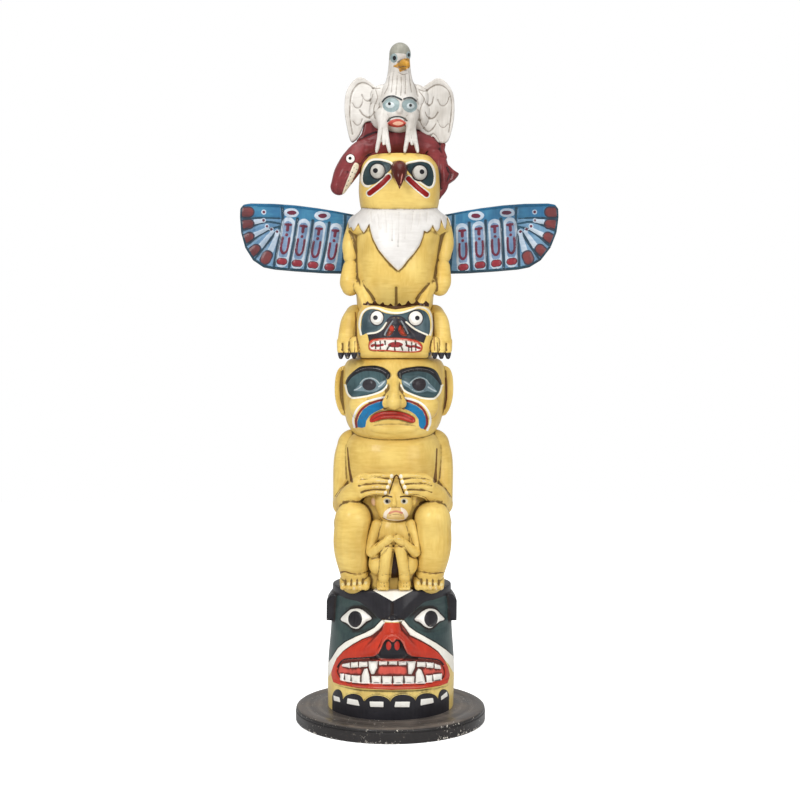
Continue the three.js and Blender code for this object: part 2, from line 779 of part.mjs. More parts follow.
const totem = new THREE.Group();
totem.add(
  piece('base_disc', baseDisc()),
  piece('pole', pole()),
  piece('wing_left', wing(1)),
  piece('wing_right', wing(-1)),
  piece('whale', whale()),
  piece('eagle', eagle()),
);

export default totem;
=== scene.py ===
"""A painted totem pole on a round base, dressed over its solid frame.

Each figure is built up from rounded forms, cast into one skin, carved, and then painted.
Sizes are in millimetres until a form is made. The front faces -Y and +Z is up.
"""

import json
import math

import bpy
import numpy as np
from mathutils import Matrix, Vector
from mathutils.bvhtree import BVHTree

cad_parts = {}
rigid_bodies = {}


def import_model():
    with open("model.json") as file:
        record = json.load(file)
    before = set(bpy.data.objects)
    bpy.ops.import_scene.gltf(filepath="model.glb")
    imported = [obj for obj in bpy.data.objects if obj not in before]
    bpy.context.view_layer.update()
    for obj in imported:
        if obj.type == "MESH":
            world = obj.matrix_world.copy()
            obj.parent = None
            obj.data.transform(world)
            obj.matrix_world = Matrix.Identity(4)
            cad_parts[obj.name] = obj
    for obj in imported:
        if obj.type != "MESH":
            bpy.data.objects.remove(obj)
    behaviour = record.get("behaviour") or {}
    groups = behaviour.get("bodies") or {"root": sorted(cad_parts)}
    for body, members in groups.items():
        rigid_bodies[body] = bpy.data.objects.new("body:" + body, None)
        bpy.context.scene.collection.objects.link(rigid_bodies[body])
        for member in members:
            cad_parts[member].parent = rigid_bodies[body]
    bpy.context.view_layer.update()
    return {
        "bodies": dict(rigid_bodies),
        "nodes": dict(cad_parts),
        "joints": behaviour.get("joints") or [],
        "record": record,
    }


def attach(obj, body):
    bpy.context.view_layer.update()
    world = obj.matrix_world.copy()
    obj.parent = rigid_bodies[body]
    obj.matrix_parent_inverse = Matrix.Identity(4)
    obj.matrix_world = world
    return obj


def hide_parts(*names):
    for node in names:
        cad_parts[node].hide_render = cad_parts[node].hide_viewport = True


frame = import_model()

MM = 0.001
SIDES = (-1, 1)


# ---- Sizes shared with the solids -------------------------------------------------------------

# The heights where one figure ends and the next begins.
BLOCK_TOP = 428
CHIN = 905
CROWN = 1142
WAIST = 1318
NECK = 1600
HEAD_TOP = 1765

LEAN_LOW = 14  # how far the pole has shifted sideways at WAIST
LEAN_HIGH = 28  # and from NECK up

# The patterns are laid out on a flat stencil through the pole's axis. A point is projected on it
# from where someone stands who looks at the front.
STAND_OFF = 4000
EYE_LEVEL = 1071


def lean(z):
    """How far the pole has shifted sideways at height z."""
    t = np.clip((z - WAIST) / (NECK - WAIST), 0, 1)
    rise = t * t * (3 - 2 * t)
    return np.where(z < WAIST, LEAN_LOW * z / WAIST, LEAN_LOW + (LEAN_HIGH - LEAN_LOW) * rise)


# ---- Rounded forms ----------------------------------------------------------------------------


def ball(centre, radii, turn=(0, 0, 0)):
    bpy.ops.mesh.primitive_uv_sphere_add(
        segments=32,
        ring_count=20,
        radius=MM,
        location=Vector(centre) * MM,
        rotation=[math.radians(angle) for angle in turn],
        scale=radii,
    )
    return bpy.context.object


def soft_run(knots, steps):
    """Points along a soft curve from the second of the knots to the last but one."""
    made = []
    for a, b, c, d in zip(knots, knots[1:], knots[2:], knots[3:]):
        for t in np.arange(steps) / steps:
            bend = (2 * a - 5 * b + 4 * c - d) * t**2 + (3 * b - a - 3 * c + d) * t**3
            made.append(0.5 * (2 * b + (c - a) * t + bend))
    return made


def smooth_line(stations, steps):
    """Points along a soft curve through the stations, whatever numbers a station holds."""
    knots = np.array(stations, dtype=float)
    padded = np.vstack([2 * knots[0] - knots[1], knots, 2 * knots[-1] - knots[-2]])
    return np.array(soft_run(padded, steps) + [knots[-1]])


def closed_line(outline, steps=5):
    """A soft closed curve through the outline's points."""
    knots = np.array(outline, dtype=float)
    return np.array(soft_run(np.vstack([knots[-1], knots, knots[:2]]), steps))


def link_curve(name, curve, points):
    """Makes an object of a curve with one straight-sided spline through the points."""
    spline = curve.splines.new("POLY")
    spline.points.add(len(points) - 1)
    for point, spot in zip(spline.points, points):
        point.co = (*spot, 1)
    made = bpy.data.objects.new(name, curve)
    bpy.context.collection.objects.link(made)
    return made, spline


def limb(stations, side=1):
    """A round limb through stations (x, y, z, radius), with domed ends. side -1 mirrors it."""
    line = smooth_line([(side * x, y, z, radius) for x, y, z, radius in stations], 5)
    curve = bpy.data.curves.new("limb", "CURVE")
    curve.dimensions = "3D"
    curve.bevel_depth = MM
    curve.bevel_resolution = 6
    curve.use_fill_caps = True
    tube, spline = link_curve("limb", curve, [(x * MM, y * MM, z * MM) for x, y, z, _ in line])
    for point, station in zip(spline.points, line):
        point.radius = station[3]
    return [tube] + [ball(end[:3], [end[3]] * 3) for end in (line[0], line[-1])]


def column(levels, square=2.0, around=72):
    """An upright body of levels (z, half width, half depth, centre y), from a sphere whose rings
    are set at the levels. square is 2 for an ellipse, and more for a boxy section."""
    rows = smooth_line(levels, 4)
    bpy.ops.mesh.primitive_uv_sphere_add(segments=around, ring_count=len(rows) + 1, radius=1)
    body = bpy.context.object
    for vertex in body.data.vertices:
        ring = round(math.acos(max(-1, min(1, vertex.co.z))) / math.pi * (len(rows) + 1))
        pole = ring in (0, len(rows) + 1)
        z, wide, deep, centre = rows[max(0, min(len(rows) - 1, len(rows) - ring))]
        across, along = vertex.co.x, vertex.co.y
        reach = (abs(across) ** square + abs(along) ** square) ** (1 / square)
        swell = 0 if pole else 1 / reach
        vertex.co = (across * swell * wide * MM, (centre + along * swell * deep) * MM, z * MM)
    return body


def slab(outline, front, back, rounded=False, edge=4, side=1):
    """A flat outline [(x, z)] from depth y = front to y = back, with softened edges."""
    line = closed_line(outline) if rounded else np.array(outline, dtype=float)
    curve = bpy.data.curves.new("slab", "CURVE")
    curve.dimensions = "2D"
    curve.fill_mode = "BOTH"
    curve.extrude = ((back - front) / 2 - edge) * MM
    curve.bevel_depth = edge * MM
    curve.bevel_resolution = 2
    curve.offset = -edge * MM
    panel, spline = link_curve("slab", curve, [(x * side * MM, z * MM, 0) for x, z in line])
    spline.use_cyclic_u = True
    panel.rotation_euler = (math.pi / 2, 0, 0)
    panel.location = (0, (front + back) / 2 * MM, 0)
    return panel


def flat(forms):
    """The forms of nested lists as one list."""
    return [one for form in forms for one in (flat(form) if isinstance(form, list) else [form])]


def cast(name, forms, grain, softening=4):
    """Joins the forms and casts them into one closed skin with faces of about grain mm, which is
    rubbed smooth softening times."""
    forms = flat(forms)
    bpy.ops.object.select_all(action="DESELECT")
    for form in forms:
        form.select_set(True)
    bpy.context.view_layer.objects.active = forms[0]
    bpy.ops.object.convert(target="MESH")
    bpy.ops.object.join()
    bpy.ops.object.transform_apply(location=True, rotation=True, scale=True)
    piece = bpy.context.object
    piece.name = name
    piece.data.name = name
    skin = piece.modifiers.new("skin", "REMESH")
    skin.mode = "VOXEL"
    skin.voxel_size = grain * MM
    skin.use_smooth_shade = True
    bpy.ops.object.modifier_apply(modifier="skin")
    rub = piece.modifiers.new("rub", "SMOOTH")
    rub.factor = 0.5
    rub.iterations = softening
    bpy.ops.object.modifier_apply(modifier="rub")
    return piece


# ---- Stencils, carving and painting -----------------------------------------------------------

# In millimetres.
FAR = 30.0  # distances to an outline are kept within this
SEAM_REACH = 12  # how far the painted shade reaches from where pieces meet
CALM = 0.12  # skin that departs less than this from its surroundings is smooth
CLEAR = 5  # skin this far from every outline is of one colour

KEPT_SHARE = 0.62  # of a piece's faces
MOST_TRIANGLES = 150000  # in a piece


def ease(value, low, high):
    t = np.clip((value - low) / (high - low), 0, 1)
    return t * t * (3 - 2 * t)


def ridge(distance, width):
    """1 on an outline, falling to 0 a width or two away."""
    return np.exp(-((distance / width) ** 2))


def raised(mask, slope):
    """1 inside an outline and 0 outside, with a slope of this width between."""
    return ease(mask, -slope / 2, slope / 2)


def pillow(mask, width):
    """Rises from 0 at an outline to 1 at width inside it, and is rounded at the top."""
    t = np.clip(mask / width, 0, 1)
    return t * (2 - t)


def outlined(mask, half_width, off=0):
    """A line along a mask's outline, set off outwards."""
    return half_width - np.abs(mask + off)


def union(*masks):
    return np.maximum.reduce(masks)


def without(mask, *others):
    """The first mask, less the others."""
    return np.minimum.reduce([mask] + [-other for other in others])


def read_vectors(items, name):
    values = np.empty(3 * len(items))
    items.foreach_get(name, values)
    return values.reshape(-1, 3)


def from_line(x, z, starts, ends):
    """How far the points lie from the nearest of the straight stretches."""
    best = np.full(len(x), 1e9)
    for (ax, az), (bx, bz) in zip(starts, ends):
        dx, dz = bx - ax, bz - az
        along = np.clip(((x - ax) * dx + (z - az) * dz) / (dx * dx + dz * dz + 1e-9), 0, 1)
        best = np.minimum(best, np.hypot(x - ax - along * dx, z - az - along * dz))
    return best


class Skin:
    """A cast piece as arrays in millimetres. A mask holds each point's distance inside an
    outline, and is negative outside. Outlines and paths are points (x, z) on the stencil."""

    def __init__(self, piece, back=1000, side=1):
        self.piece = piece
        self.back = back  # stencils reach points whose y is under this
        self.side = side  # -1 lays a stencil mirrored
        self.coats = {}  # the masks that the paint reads, by name
        self.clean = None  # a mask where little wash and little painted shade settle
        self.seam = 0  # how near another piece is, from 0 to 1; the paint is darkened there as painted shade
        self.read()

    def read(self):
        mesh = self.piece.data
        self.at = read_vectors(mesh.vertices, "co") / MM
        self.facing = read_vectors(mesh.vertex_normals, "vector")
        near = STAND_OFF / (STAND_OFF + self.at[:, 1])
        self.x = self.at[:, 0] * near * self.side
        self.z = EYE_LEVEL + (self.at[:, 2] - EYE_LEVEL) * near
        self.hidden = (self.facing[:, 1] > 0.35) | (self.at[:, 1] > self.back)

    def write(self):
        self.piece.data.vertices.foreach_set("co", (self.at * MM).ravel())
        self.piece.data.update()

    def masked(self, centre, reach, measure):
        """Fills a mask with measure(x, z) for the points near centre."""
        mask = np.full(len(self.x), -FAR)
        close = np.abs(self.x - centre[0]) < reach[0] + FAR
        close &= np.abs(self.z - centre[1]) < reach[1] + FAR
        close &= ~self.hidden
        mask[close] = np.clip(measure(self.x[close], self.z[close]), -FAR, FAR)
        return mask

    def region(self, outline, rounded=True):
        """What lies inside an outline."""
        line = closed_line(outline) if rounded else np.array(outline, dtype=float)
        following = np.roll(line, -1, 0)
        low, high = line.min(0), line.max(0)

        def measure(x, z):
            odd = np.zeros(len(x), dtype=bool)
            for (ax, az), (bx, bz) in zip(line, following):
                if abs(bz - az) > 1e-9:
                    cross = (az > z) != (bz > z)
                    odd ^= cross & (x < ax + (z - az) * (bx - ax) / (bz - az))
            best = from_line(x, z, line, following)
            return np.where(odd, best, -best)

        return self.masked((low + high) / 2, (high - low) / 2, measure)

    def regions(self, *outlines, rounded=True):
        return union(*[self.region(outline, rounded) for outline in outlines])

    def line(self, path, half_width, rounded=True):
        """A brushed line along a path, with round ends."""
        points = np.array(path, dtype=float)
        if rounded and len(path) > 2:
            points = smooth_line(path, 5)
        low, high = points.min(0), points.max(0)

        def measure(x, z):
            return half_width - from_line(x, z, points[:-1], points[1:])

        return self.masked((low + high) / 2, (high - low) / 2 + half_width, measure)

    def lines(self, half_width, *paths, rounded=True):
        return union(*[self.line(path, half_width, rounded) for path in paths])

    def disc(self, centre, wide, high=None):
        """An upright ellipse of these half widths."""
        high = high or wide

        def measure(x, z):
            u, v = (x - centre[0]) / wide, (z - centre[1]) / high
            return (1 - np.hypot(u, v)) * min(wide, high)

        return self.masked(centre, (wide, high), measure)

    def discs(self, *discs):
        return union(*[self.disc(*disc) for disc in discs])

    def band(self, low, high):
        """A mask of the points between two heights."""
        return np.clip(np.minimum(self.at[:, 2] - low, high - self.at[:, 2]), -FAR, FAR)

    def carve(self, depth):
        """Raises the surface by depth towards the onlooker, so that the pattern stays in place."""
        way = np.array([0, -STAND_OFF, EYE_LEVEL]) - self.at
        way /= np.linalg.norm(way, axis=1)[:, None]
        self.at = self.at + way * np.asarray(depth)[:, None]
        self.write()
        self.read()

    def coat(self, **masks):
        """Keeps masks as the outlines of coats of paint, to be written when the piece is done."""
        self.coats.update(masks)

    def hollows(self, rounds):
        """How far each point lies under the mean of its surroundings, in millimetres."""
        mesh = self.piece.data
        ends = np.empty(2 * len(mesh.edges), dtype=np.int32)
        mesh.edges.foreach_get("vertices", ends)
        a, b = ends.reshape(-1, 2).T
        count = len(self.at)
        share = np.bincount(a, minlength=count) + np.bincount(b, minlength=count)
        mean = self.at.copy()
        for _ in range(rounds):
            total = np.empty_like(mean)
            for k in range(3):
                total[:, k] = np.bincount(a, mean[b, k], count) + np.bincount(b, mean[a, k], count)
            mean = 0.3 * mean + 0.7 * total / np.maximum(share, 1)[:, None]
        return np.einsum("ij,ij->i", mean - self.at, self.facing)

    def finish(self):
        """Writes the coats, the hollows and the edges as attributes, and leans the piece."""
        fine = self.hollows(3)
        broad = self.hollows(26)
        # The hollow attribute: the small hollows take the antique wash; the broad hollows and the
        # seams where pieces meet are painted shade.
        self.coats["hollow"] = np.clip(1.1 * fine, -1, 2) + np.clip(0.42 * broad, -1, 3)
        if self.clean is not None:
            self.coats["hollow"] *= 1 - 0.75 * ease(self.clean, -1, 2)
        self.coats["hollow"] += 1.2 * self.seam ** 1.6
        self.coats["edge"] = np.clip(-fine, 0, 2)
        for name, values in self.coats.items():
            layer = self.piece.data.attributes.new(name, "FLOAT", "POINT")
            layer.data.foreach_set("value", values.astype(np.float32))
        self.at[:, 0] += lean(self.at[:, 2])
        self.write()
        plain = np.abs(fine) < CALM
        for name, values in self.coats.items():
            if name not in ("hollow", "edge"):
                plain &= np.abs(values) > CLEAR
        self.thin_out(np.nonzero(plain)[0].tolist())

    def thin_out(self, plain):
        """Merges faces, first of all where the skin is smooth and of one colour."""
        piece = self.piece
        piece.vertex_groups.new(name="plain").add(plain, 1.0, "REPLACE")
        bpy.context.view_layer.objects.active = piece
        merge = piece.modifiers.new("merge", "DECIMATE")
        merge.ratio = min(KEPT_SHARE, MOST_TRIANGLES / (2 * len(piece.data.polygons)))
        merge.vertex_group = "plain"
        bpy.ops.object.modifier_apply(modifier="merge")
        piece.vertex_groups.clear()


# ---- Paint ------------------------------------------------------------------------------------

# A coat's light and dark shades.
YELLOW = ("e8cb76", "d1ad57")


def tint(code):
    """A colour for a shader from its usual hex code."""
    shares = [int(code[i : i + 2], 16) / 255 for i in (0, 2, 4)]
    shares = [s / 12.92 if s < 0.04045 else ((s + 0.055) / 1.055) ** 2.4 for s in shares]
    return (*shares, 1)


def place(tree, kind, inputs=None, **settings):
    """Adds a node. Its inputs are given as values or as the sockets that feed them."""
    made = tree.nodes.new("ShaderNode" + kind)
    for key, value in settings.items():
        setattr(made, key, value)
    for key, value in (inputs or {}).items():
        if isinstance(value, bpy.types.NodeSocket):
            tree.links.new(value, made.inputs[key])
        else:
            made.inputs[key].default_value = value
    return made


def sum_of(tree, operation, *terms):
    made = place(tree, "Math", dict(enumerate(terms)), operation=operation)
    return made.outputs[0]


def between(tree, value, low, high, to_low=0.0, to_high=1.0):
    """Maps value softly from low..high to to_low..to_high."""
    made = place(
        tree,
        "MapRange",
        {"Value": value, "From Min": low, "From Max": high, "To Min": to_low, "To Max": to_high},
        interpolation_type="SMOOTHSTEP",
    )
    return made.outputs["Result"]


def blend(tree, share, first, second, how="MIX"):
    made = place(tree, "MixRGB", {"Fac": share, "Color1": first, "Color2": second}, blend_type=how)
    return made.outputs["Color"]


def grain(tree, scale, detail=3.0, roughness=0.55, stretch=(1, 1, 1), shift=0.0):
    """Noise over the object, as a value of about 0 to 1. scale is in turns a metre."""
    where = place(tree, "TexCoord").outputs["Object"]
    if stretch != (1, 1, 1) or shift:
        turned = place(tree, "Mapping", {"Vector": where, "Scale": stretch})
        turned.inputs["Location"].default_value = (shift, shift, shift)
        where = turned.outputs["Vector"]
    noise = place(
        tree,
        "TexNoise",
        {"Vector": where, "Scale": scale, "Detail": detail, "Roughness": roughness},
    )
    return noise.outputs["Fac"]


def new_group(name, inputs, outputs):
    tree = bpy.data.node_groups.new(name, "ShaderNodeTree")
    for label, kind, default in inputs:
        socket = tree.interface.new_socket(label, in_out="INPUT", socket_type="NodeSocket" + kind)
        socket.default_value = default
    for label, kind in outputs:
        tree.interface.new_socket(label, in_out="OUTPUT", socket_type="NodeSocket" + kind)
    return tree, tree.nodes.new("NodeGroupInput").outputs, tree.nodes.new("NodeGroupOutput").inputs


def use(tree, group, **inputs):
    made = tree.nodes.new("ShaderNodeGroup")
    made.node_tree = group
    for key, value in inputs.items():
        label = key.replace("_", " ").capitalize()
        if isinstance(value, bpy.types.NodeSocket):
            tree.links.new(value, made.inputs[label])
        else:
            made.inputs[label].default_value = value
    return made.outputs


def make_brushed_edge():
    """The mask of a coat of paint, from the distance inside its outline in millimetres."""
    tree, given, out = new_group(
        "Brushed edge",
        [("Distance", "Float", 0.0), ("Waver", "Float", 1.2), ("Crispness", "Float", 0.5)],
        [("Mask", "Float")],
    )
    slow = sum_of(tree, "SUBTRACT", grain(tree, 55, 2.0), 0.5)
    quick = sum_of(tree, "SUBTRACT", grain(tree, 260, 2.0), 0.5)
    shake = sum_of(tree, "MULTIPLY_ADD", quick, 0.5, slow)
    moved = sum_of(tree, "MULTIPLY_ADD", shake, given["Waver"], given["Distance"])
    outside = sum_of(tree, "MULTIPLY", given["Crispness"], -1.0)
    tree.links.new(between(tree, moved, outside, given["Crispness"]), out["Mask"])
    return tree


def make_brush_marks():
    """Streaks that a flat brush leaves, and how much their ridges stand up."""
    tree, given, out = new_group(
        "Brush marks", [("Strength", "Float", 1.0)], [("Value", "Float"), ("Height", "Float")]
    )
    down = grain(tree, 120, 4.0, 0.6, (1, 1, 0.12))
    across = grain(tree, 120, 4.0, 0.6, (0.16, 0.16, 1), 3.0)
    choose = between(tree, grain(tree, 9, 1.0, shift=7.0), 0.44, 0.56)
    streaks = blend(tree, choose, down, across)
    clouds = grain(tree, 14, 3.0, 0.5, shift=1.7)
    both = sum_of(tree, "MULTIPLY_ADD", streaks, 0.4, sum_of(tree, "MULTIPLY", clouds, 0.6))
    swing = sum_of(tree, "SUBTRACT", both, 0.5)
    swing = sum_of(tree, "MULTIPLY_ADD", swing, given["Strength"], 0.5)
    tree.links.new(between(tree, swing, 0.3, 0.7), out["Value"])
    tree.links.new(streaks, out["Height"])
    return tree


def make_wash_and_shade():
    """Brown in the hollows and in random patches, kept off the high places: a thin antique wash in
    the small hollows, and painted shade in the broad hollows and where pieces meet.
    """
    tree, given, out = new_group(
        "Antique wash",
        [
            ("Colour", "Color", (1, 1, 1, 1)),
            ("Wash", "Color", tint("4a2f18")),
            ("Hollow", "Float", 0.0),
            ("Amount", "Float", 1.0),
            ("Haze", "Float", 0.12),
        ],
        [("Colour", "Color"), ("Mask", "Float")],
    )
    smear = grain(tree, 42, 4.0, 0.65, (1, 1, 0.55), 5.0)
    shaken = sum_of(tree, "SUBTRACT", smear, 0.5)
    shaken = sum_of(tree, "MULTIPLY_ADD", shaken, 0.9, given["Hollow"])
    deep = between(tree, shaken, 0.22, 1.25)
    patches = between(tree, grain(tree, 7, 3.0, 0.6, shift=2.0), 0.45, 0.75)
    haze = sum_of(tree, "MULTIPLY", patches, given["Haze"])
    both = sum_of(tree, "MAXIMUM", sum_of(tree, "MULTIPLY", deep, given["Amount"]), haze)
    tree.links.new(blend(tree, both, given["Colour"], given["Wash"]), out["Colour"])
    tree.links.new(both, out["Mask"])
    return tree


def make_chipped_edges():
    """Small chips and rubbed spots on the high edges, down to the pale ground."""
    tree, given, out = new_group(
        "Chipped edges",
        [
            ("Colour", "Color", (1, 1, 1, 1)),
            ("Bare", "Color", tint("d8cdb8")),
            ("Edge", "Float", 0.0),
            ("Amount", "Float", 0.5),
        ],
        [("Colour", "Color"), ("Mask", "Float")],
    )
    flecks = grain(tree, 210, 3.0, 0.7, shift=4.0)
    zones = grain(tree, 16, 2.0, 0.5, shift=9.0)
    worn = sum_of(tree, "MULTIPLY", sum_of(tree, "MULTIPLY", flecks, zones), given["Edge"])
    mask = between(tree, worn, 0.17, 0.24)
    share = sum_of(tree, "MULTIPLY", mask, given["Amount"])
    tree.links.new(blend(tree, share, given["Colour"], given["Bare"]), out["Colour"])
    tree.links.new(share, out["Mask"])
    return tree


BRUSHED_EDGE = make_brushed_edge()
BRUSH_MARKS = make_brush_marks()
WASH_AND_SHADE = make_wash_and_shade()
CHIPPED_EDGES = make_chipped_edges()


def attribute(tree, name):
    return place(tree, "Attribute", attribute_name=name).outputs["Fac"]


def new_look(name):
    """A material, its tree and its shader."""
    look = bpy.data.materials.new(name)
    look.use_nodes = True
    return look, look.node_tree, look.node_tree.nodes["Principled BSDF"]


def set_values(shader, **values):
    for key, value in values.items():
        shader.inputs[key.replace("_", " ")].default_value = value


def painted(
    name,
    ground,
    coats=(),
    wash="4d2f16",
    wash_and_shade_amount=0.84,
    haze=0.1,
    chipped=0.5,
    bare="d8cdb8",
    roughness=0.34,
    waver=1.2,
):
    """Hand-painted and varnished. ground and each coat have a light and a dark shade of colour,
    and a coat is laid inside its outline."""
    look, tree, shader = new_look(name)
    marks = use(tree, BRUSH_MARKS, strength=1.0)
    colour = blend(tree, marks["Value"], tint(ground[1]), tint(ground[0]))
    thickness = sum_of(tree, "MULTIPLY", marks["Height"], 0.5)
    for coat_name, light, dark in coats:
        mask = use(tree, BRUSHED_EDGE, distance=attribute(tree, coat_name), waver=waver)["Mask"]
        shade = blend(tree, marks["Value"], tint(dark), tint(light))
        colour = blend(tree, mask, colour, shade)
        thickness = sum_of(tree, "MULTIPLY_ADD", mask, 0.35, thickness)
    # The hollows take the wash colour: a thin antique wash in the small hollows, and painted shade
    # in the broad hollows and where pieces meet.
    hollow = attribute(tree, "hollow")
    stained = use(
        tree, WASH_AND_SHADE, colour=colour, wash=tint(wash), hollow=hollow, amount=wash_and_shade_amount, haze=haze
    )
    worn = use(
        tree,
        CHIPPED_EDGES,
        colour=stained["Colour"],
        bare=tint(bare),
        edge=attribute(tree, "edge"),
        amount=chipped,
    )
    tree.links.new(worn["Colour"], shader.inputs["Base Color"])
    dull = sum_of(tree, "MULTIPLY_ADD", stained["Mask"], 0.25, roughness)
    streaked = sum_of(tree, "MULTIPLY_ADD", marks["Value"], 0.12, dull)
    rough = sum_of(tree, "MULTIPLY_ADD", worn["Mask"], 0.3, streaked)
    tree.links.new(rough, shader.inputs["Roughness"])
    pores = grain(tree, 420, 2.0, 0.5, shift=6.0)
    height = sum_of(tree, "MULTIPLY_ADD", pores, 0.5, thickness)
    settled = sum_of(tree, "MULTIPLY_ADD", worn["Mask"], -0.6, height)
    bump = place(tree, "Bump", {"Height": settled, "Strength": 0.6, "Distance": 0.0006})
    tree.links.new(bump.outputs["Normal"], shader.inputs["Normal"])
    set_values(
        shader, Specular_IOR_Level=0.12, Coat_Weight=0.3, Coat_Roughness=0.16, Coat_IOR=1.4
    )
    return look


def worn_board():
    """Black paint on wood that has gone grey with scuffs and dust, and is chipped at its edge."""
    look, tree, shader = new_look("worn board")
    where = place(tree, "TexCoord").outputs["Object"]
    height = place(tree, "SeparateXYZ", {"Vector": where}).outputs["Z"]
    marks = use(tree, BRUSH_MARKS, strength=0.8)
    colour = blend(tree, marks["Value"], tint("201e1e"), tint("2c2929"))
    dust = between(tree, grain(tree, 6.5, 4.0, 0.62, shift=1.0), 0.4, 0.66)
    top = between(tree, height, 0.040, 0.045)
    share = sum_of(tree, "MULTIPLY", sum_of(tree, "MULTIPLY_ADD", dust, 0.55, 0.3), top)
    colour = blend(tree, share, colour, tint("7d736a"))
    rings = place(
        tree,
        "TexWave",
        {"Vector": where, "Scale": 9.0, "Distortion": 2.6, "Detail": 3.0, "Detail Scale": 1.4},
        wave_type="RINGS",
        rings_direction="Z",
    ).outputs["Fac"]
    rub = sum_of(tree, "MULTIPLY", between(tree, rings, 0.55, 0.95), 0.22)
    colour = blend(tree, sum_of(tree, "MULTIPLY", rub, top), colour, tint("8f857b"))
    scratches = between(tree, grain(tree, 70, 4.0, 0.7, (1, 0.12, 1), 2.0), 0.62, 0.72)
    colour = blend(tree, sum_of(tree, "MULTIPLY", scratches, 0.3), colour, tint("968d83"))
    low = between(tree, height, 0.016, 0.001)
    rounding = between(tree, height, 0.034, 0.038)
    rounding = sum_of(tree, "MULTIPLY", rounding, between(tree, height, 0.0447, 0.042))
    patches = grain(tree, 8, 2.0, 0.5, shift=4.0)
    flakes = sum_of(tree, "MULTIPLY_ADD", low, 0.11, grain(tree, 120, 4.0, 0.7, shift=8.0))
    flakes = sum_of(tree, "MULTIPLY_ADD", rounding, 0.05, flakes)
    flakes = sum_of(tree, "MULTIPLY_ADD", patches, 0.35, flakes)
    chips = between(tree, flakes, 0.845, 0.875)
    colour = blend(tree, chips, colour, tint("d9d2c6"))
    tree.links.new(colour, shader.inputs["Base Color"])
    gloss = sum_of(tree, "MULTIPLY_ADD", dust, 0.2, 0.34)
    tree.links.new(sum_of(tree, "MULTIPLY_ADD", chips, 0.3, gloss), shader.inputs["Roughness"])
    relief = sum_of(tree, "MULTIPLY_ADD", chips, -1.2, marks["Height"])
    relief = sum_of(tree, "MULTIPLY_ADD", grain(tree, 300, 2.0), 0.4, relief)
    bump = place(tree, "Bump", {"Height": relief, "Strength": 0.7, "Distance": 0.0009})
    tree.links.new(bump.outputs["Normal"], shader.inputs["Normal"])
    set_values(shader, Specular_IOR_Level=0.2, Coat_Weight=0.25, Coat_Roughness=0.15)
    return look


# ---- The bear's face --------------------------------------------------------------------------


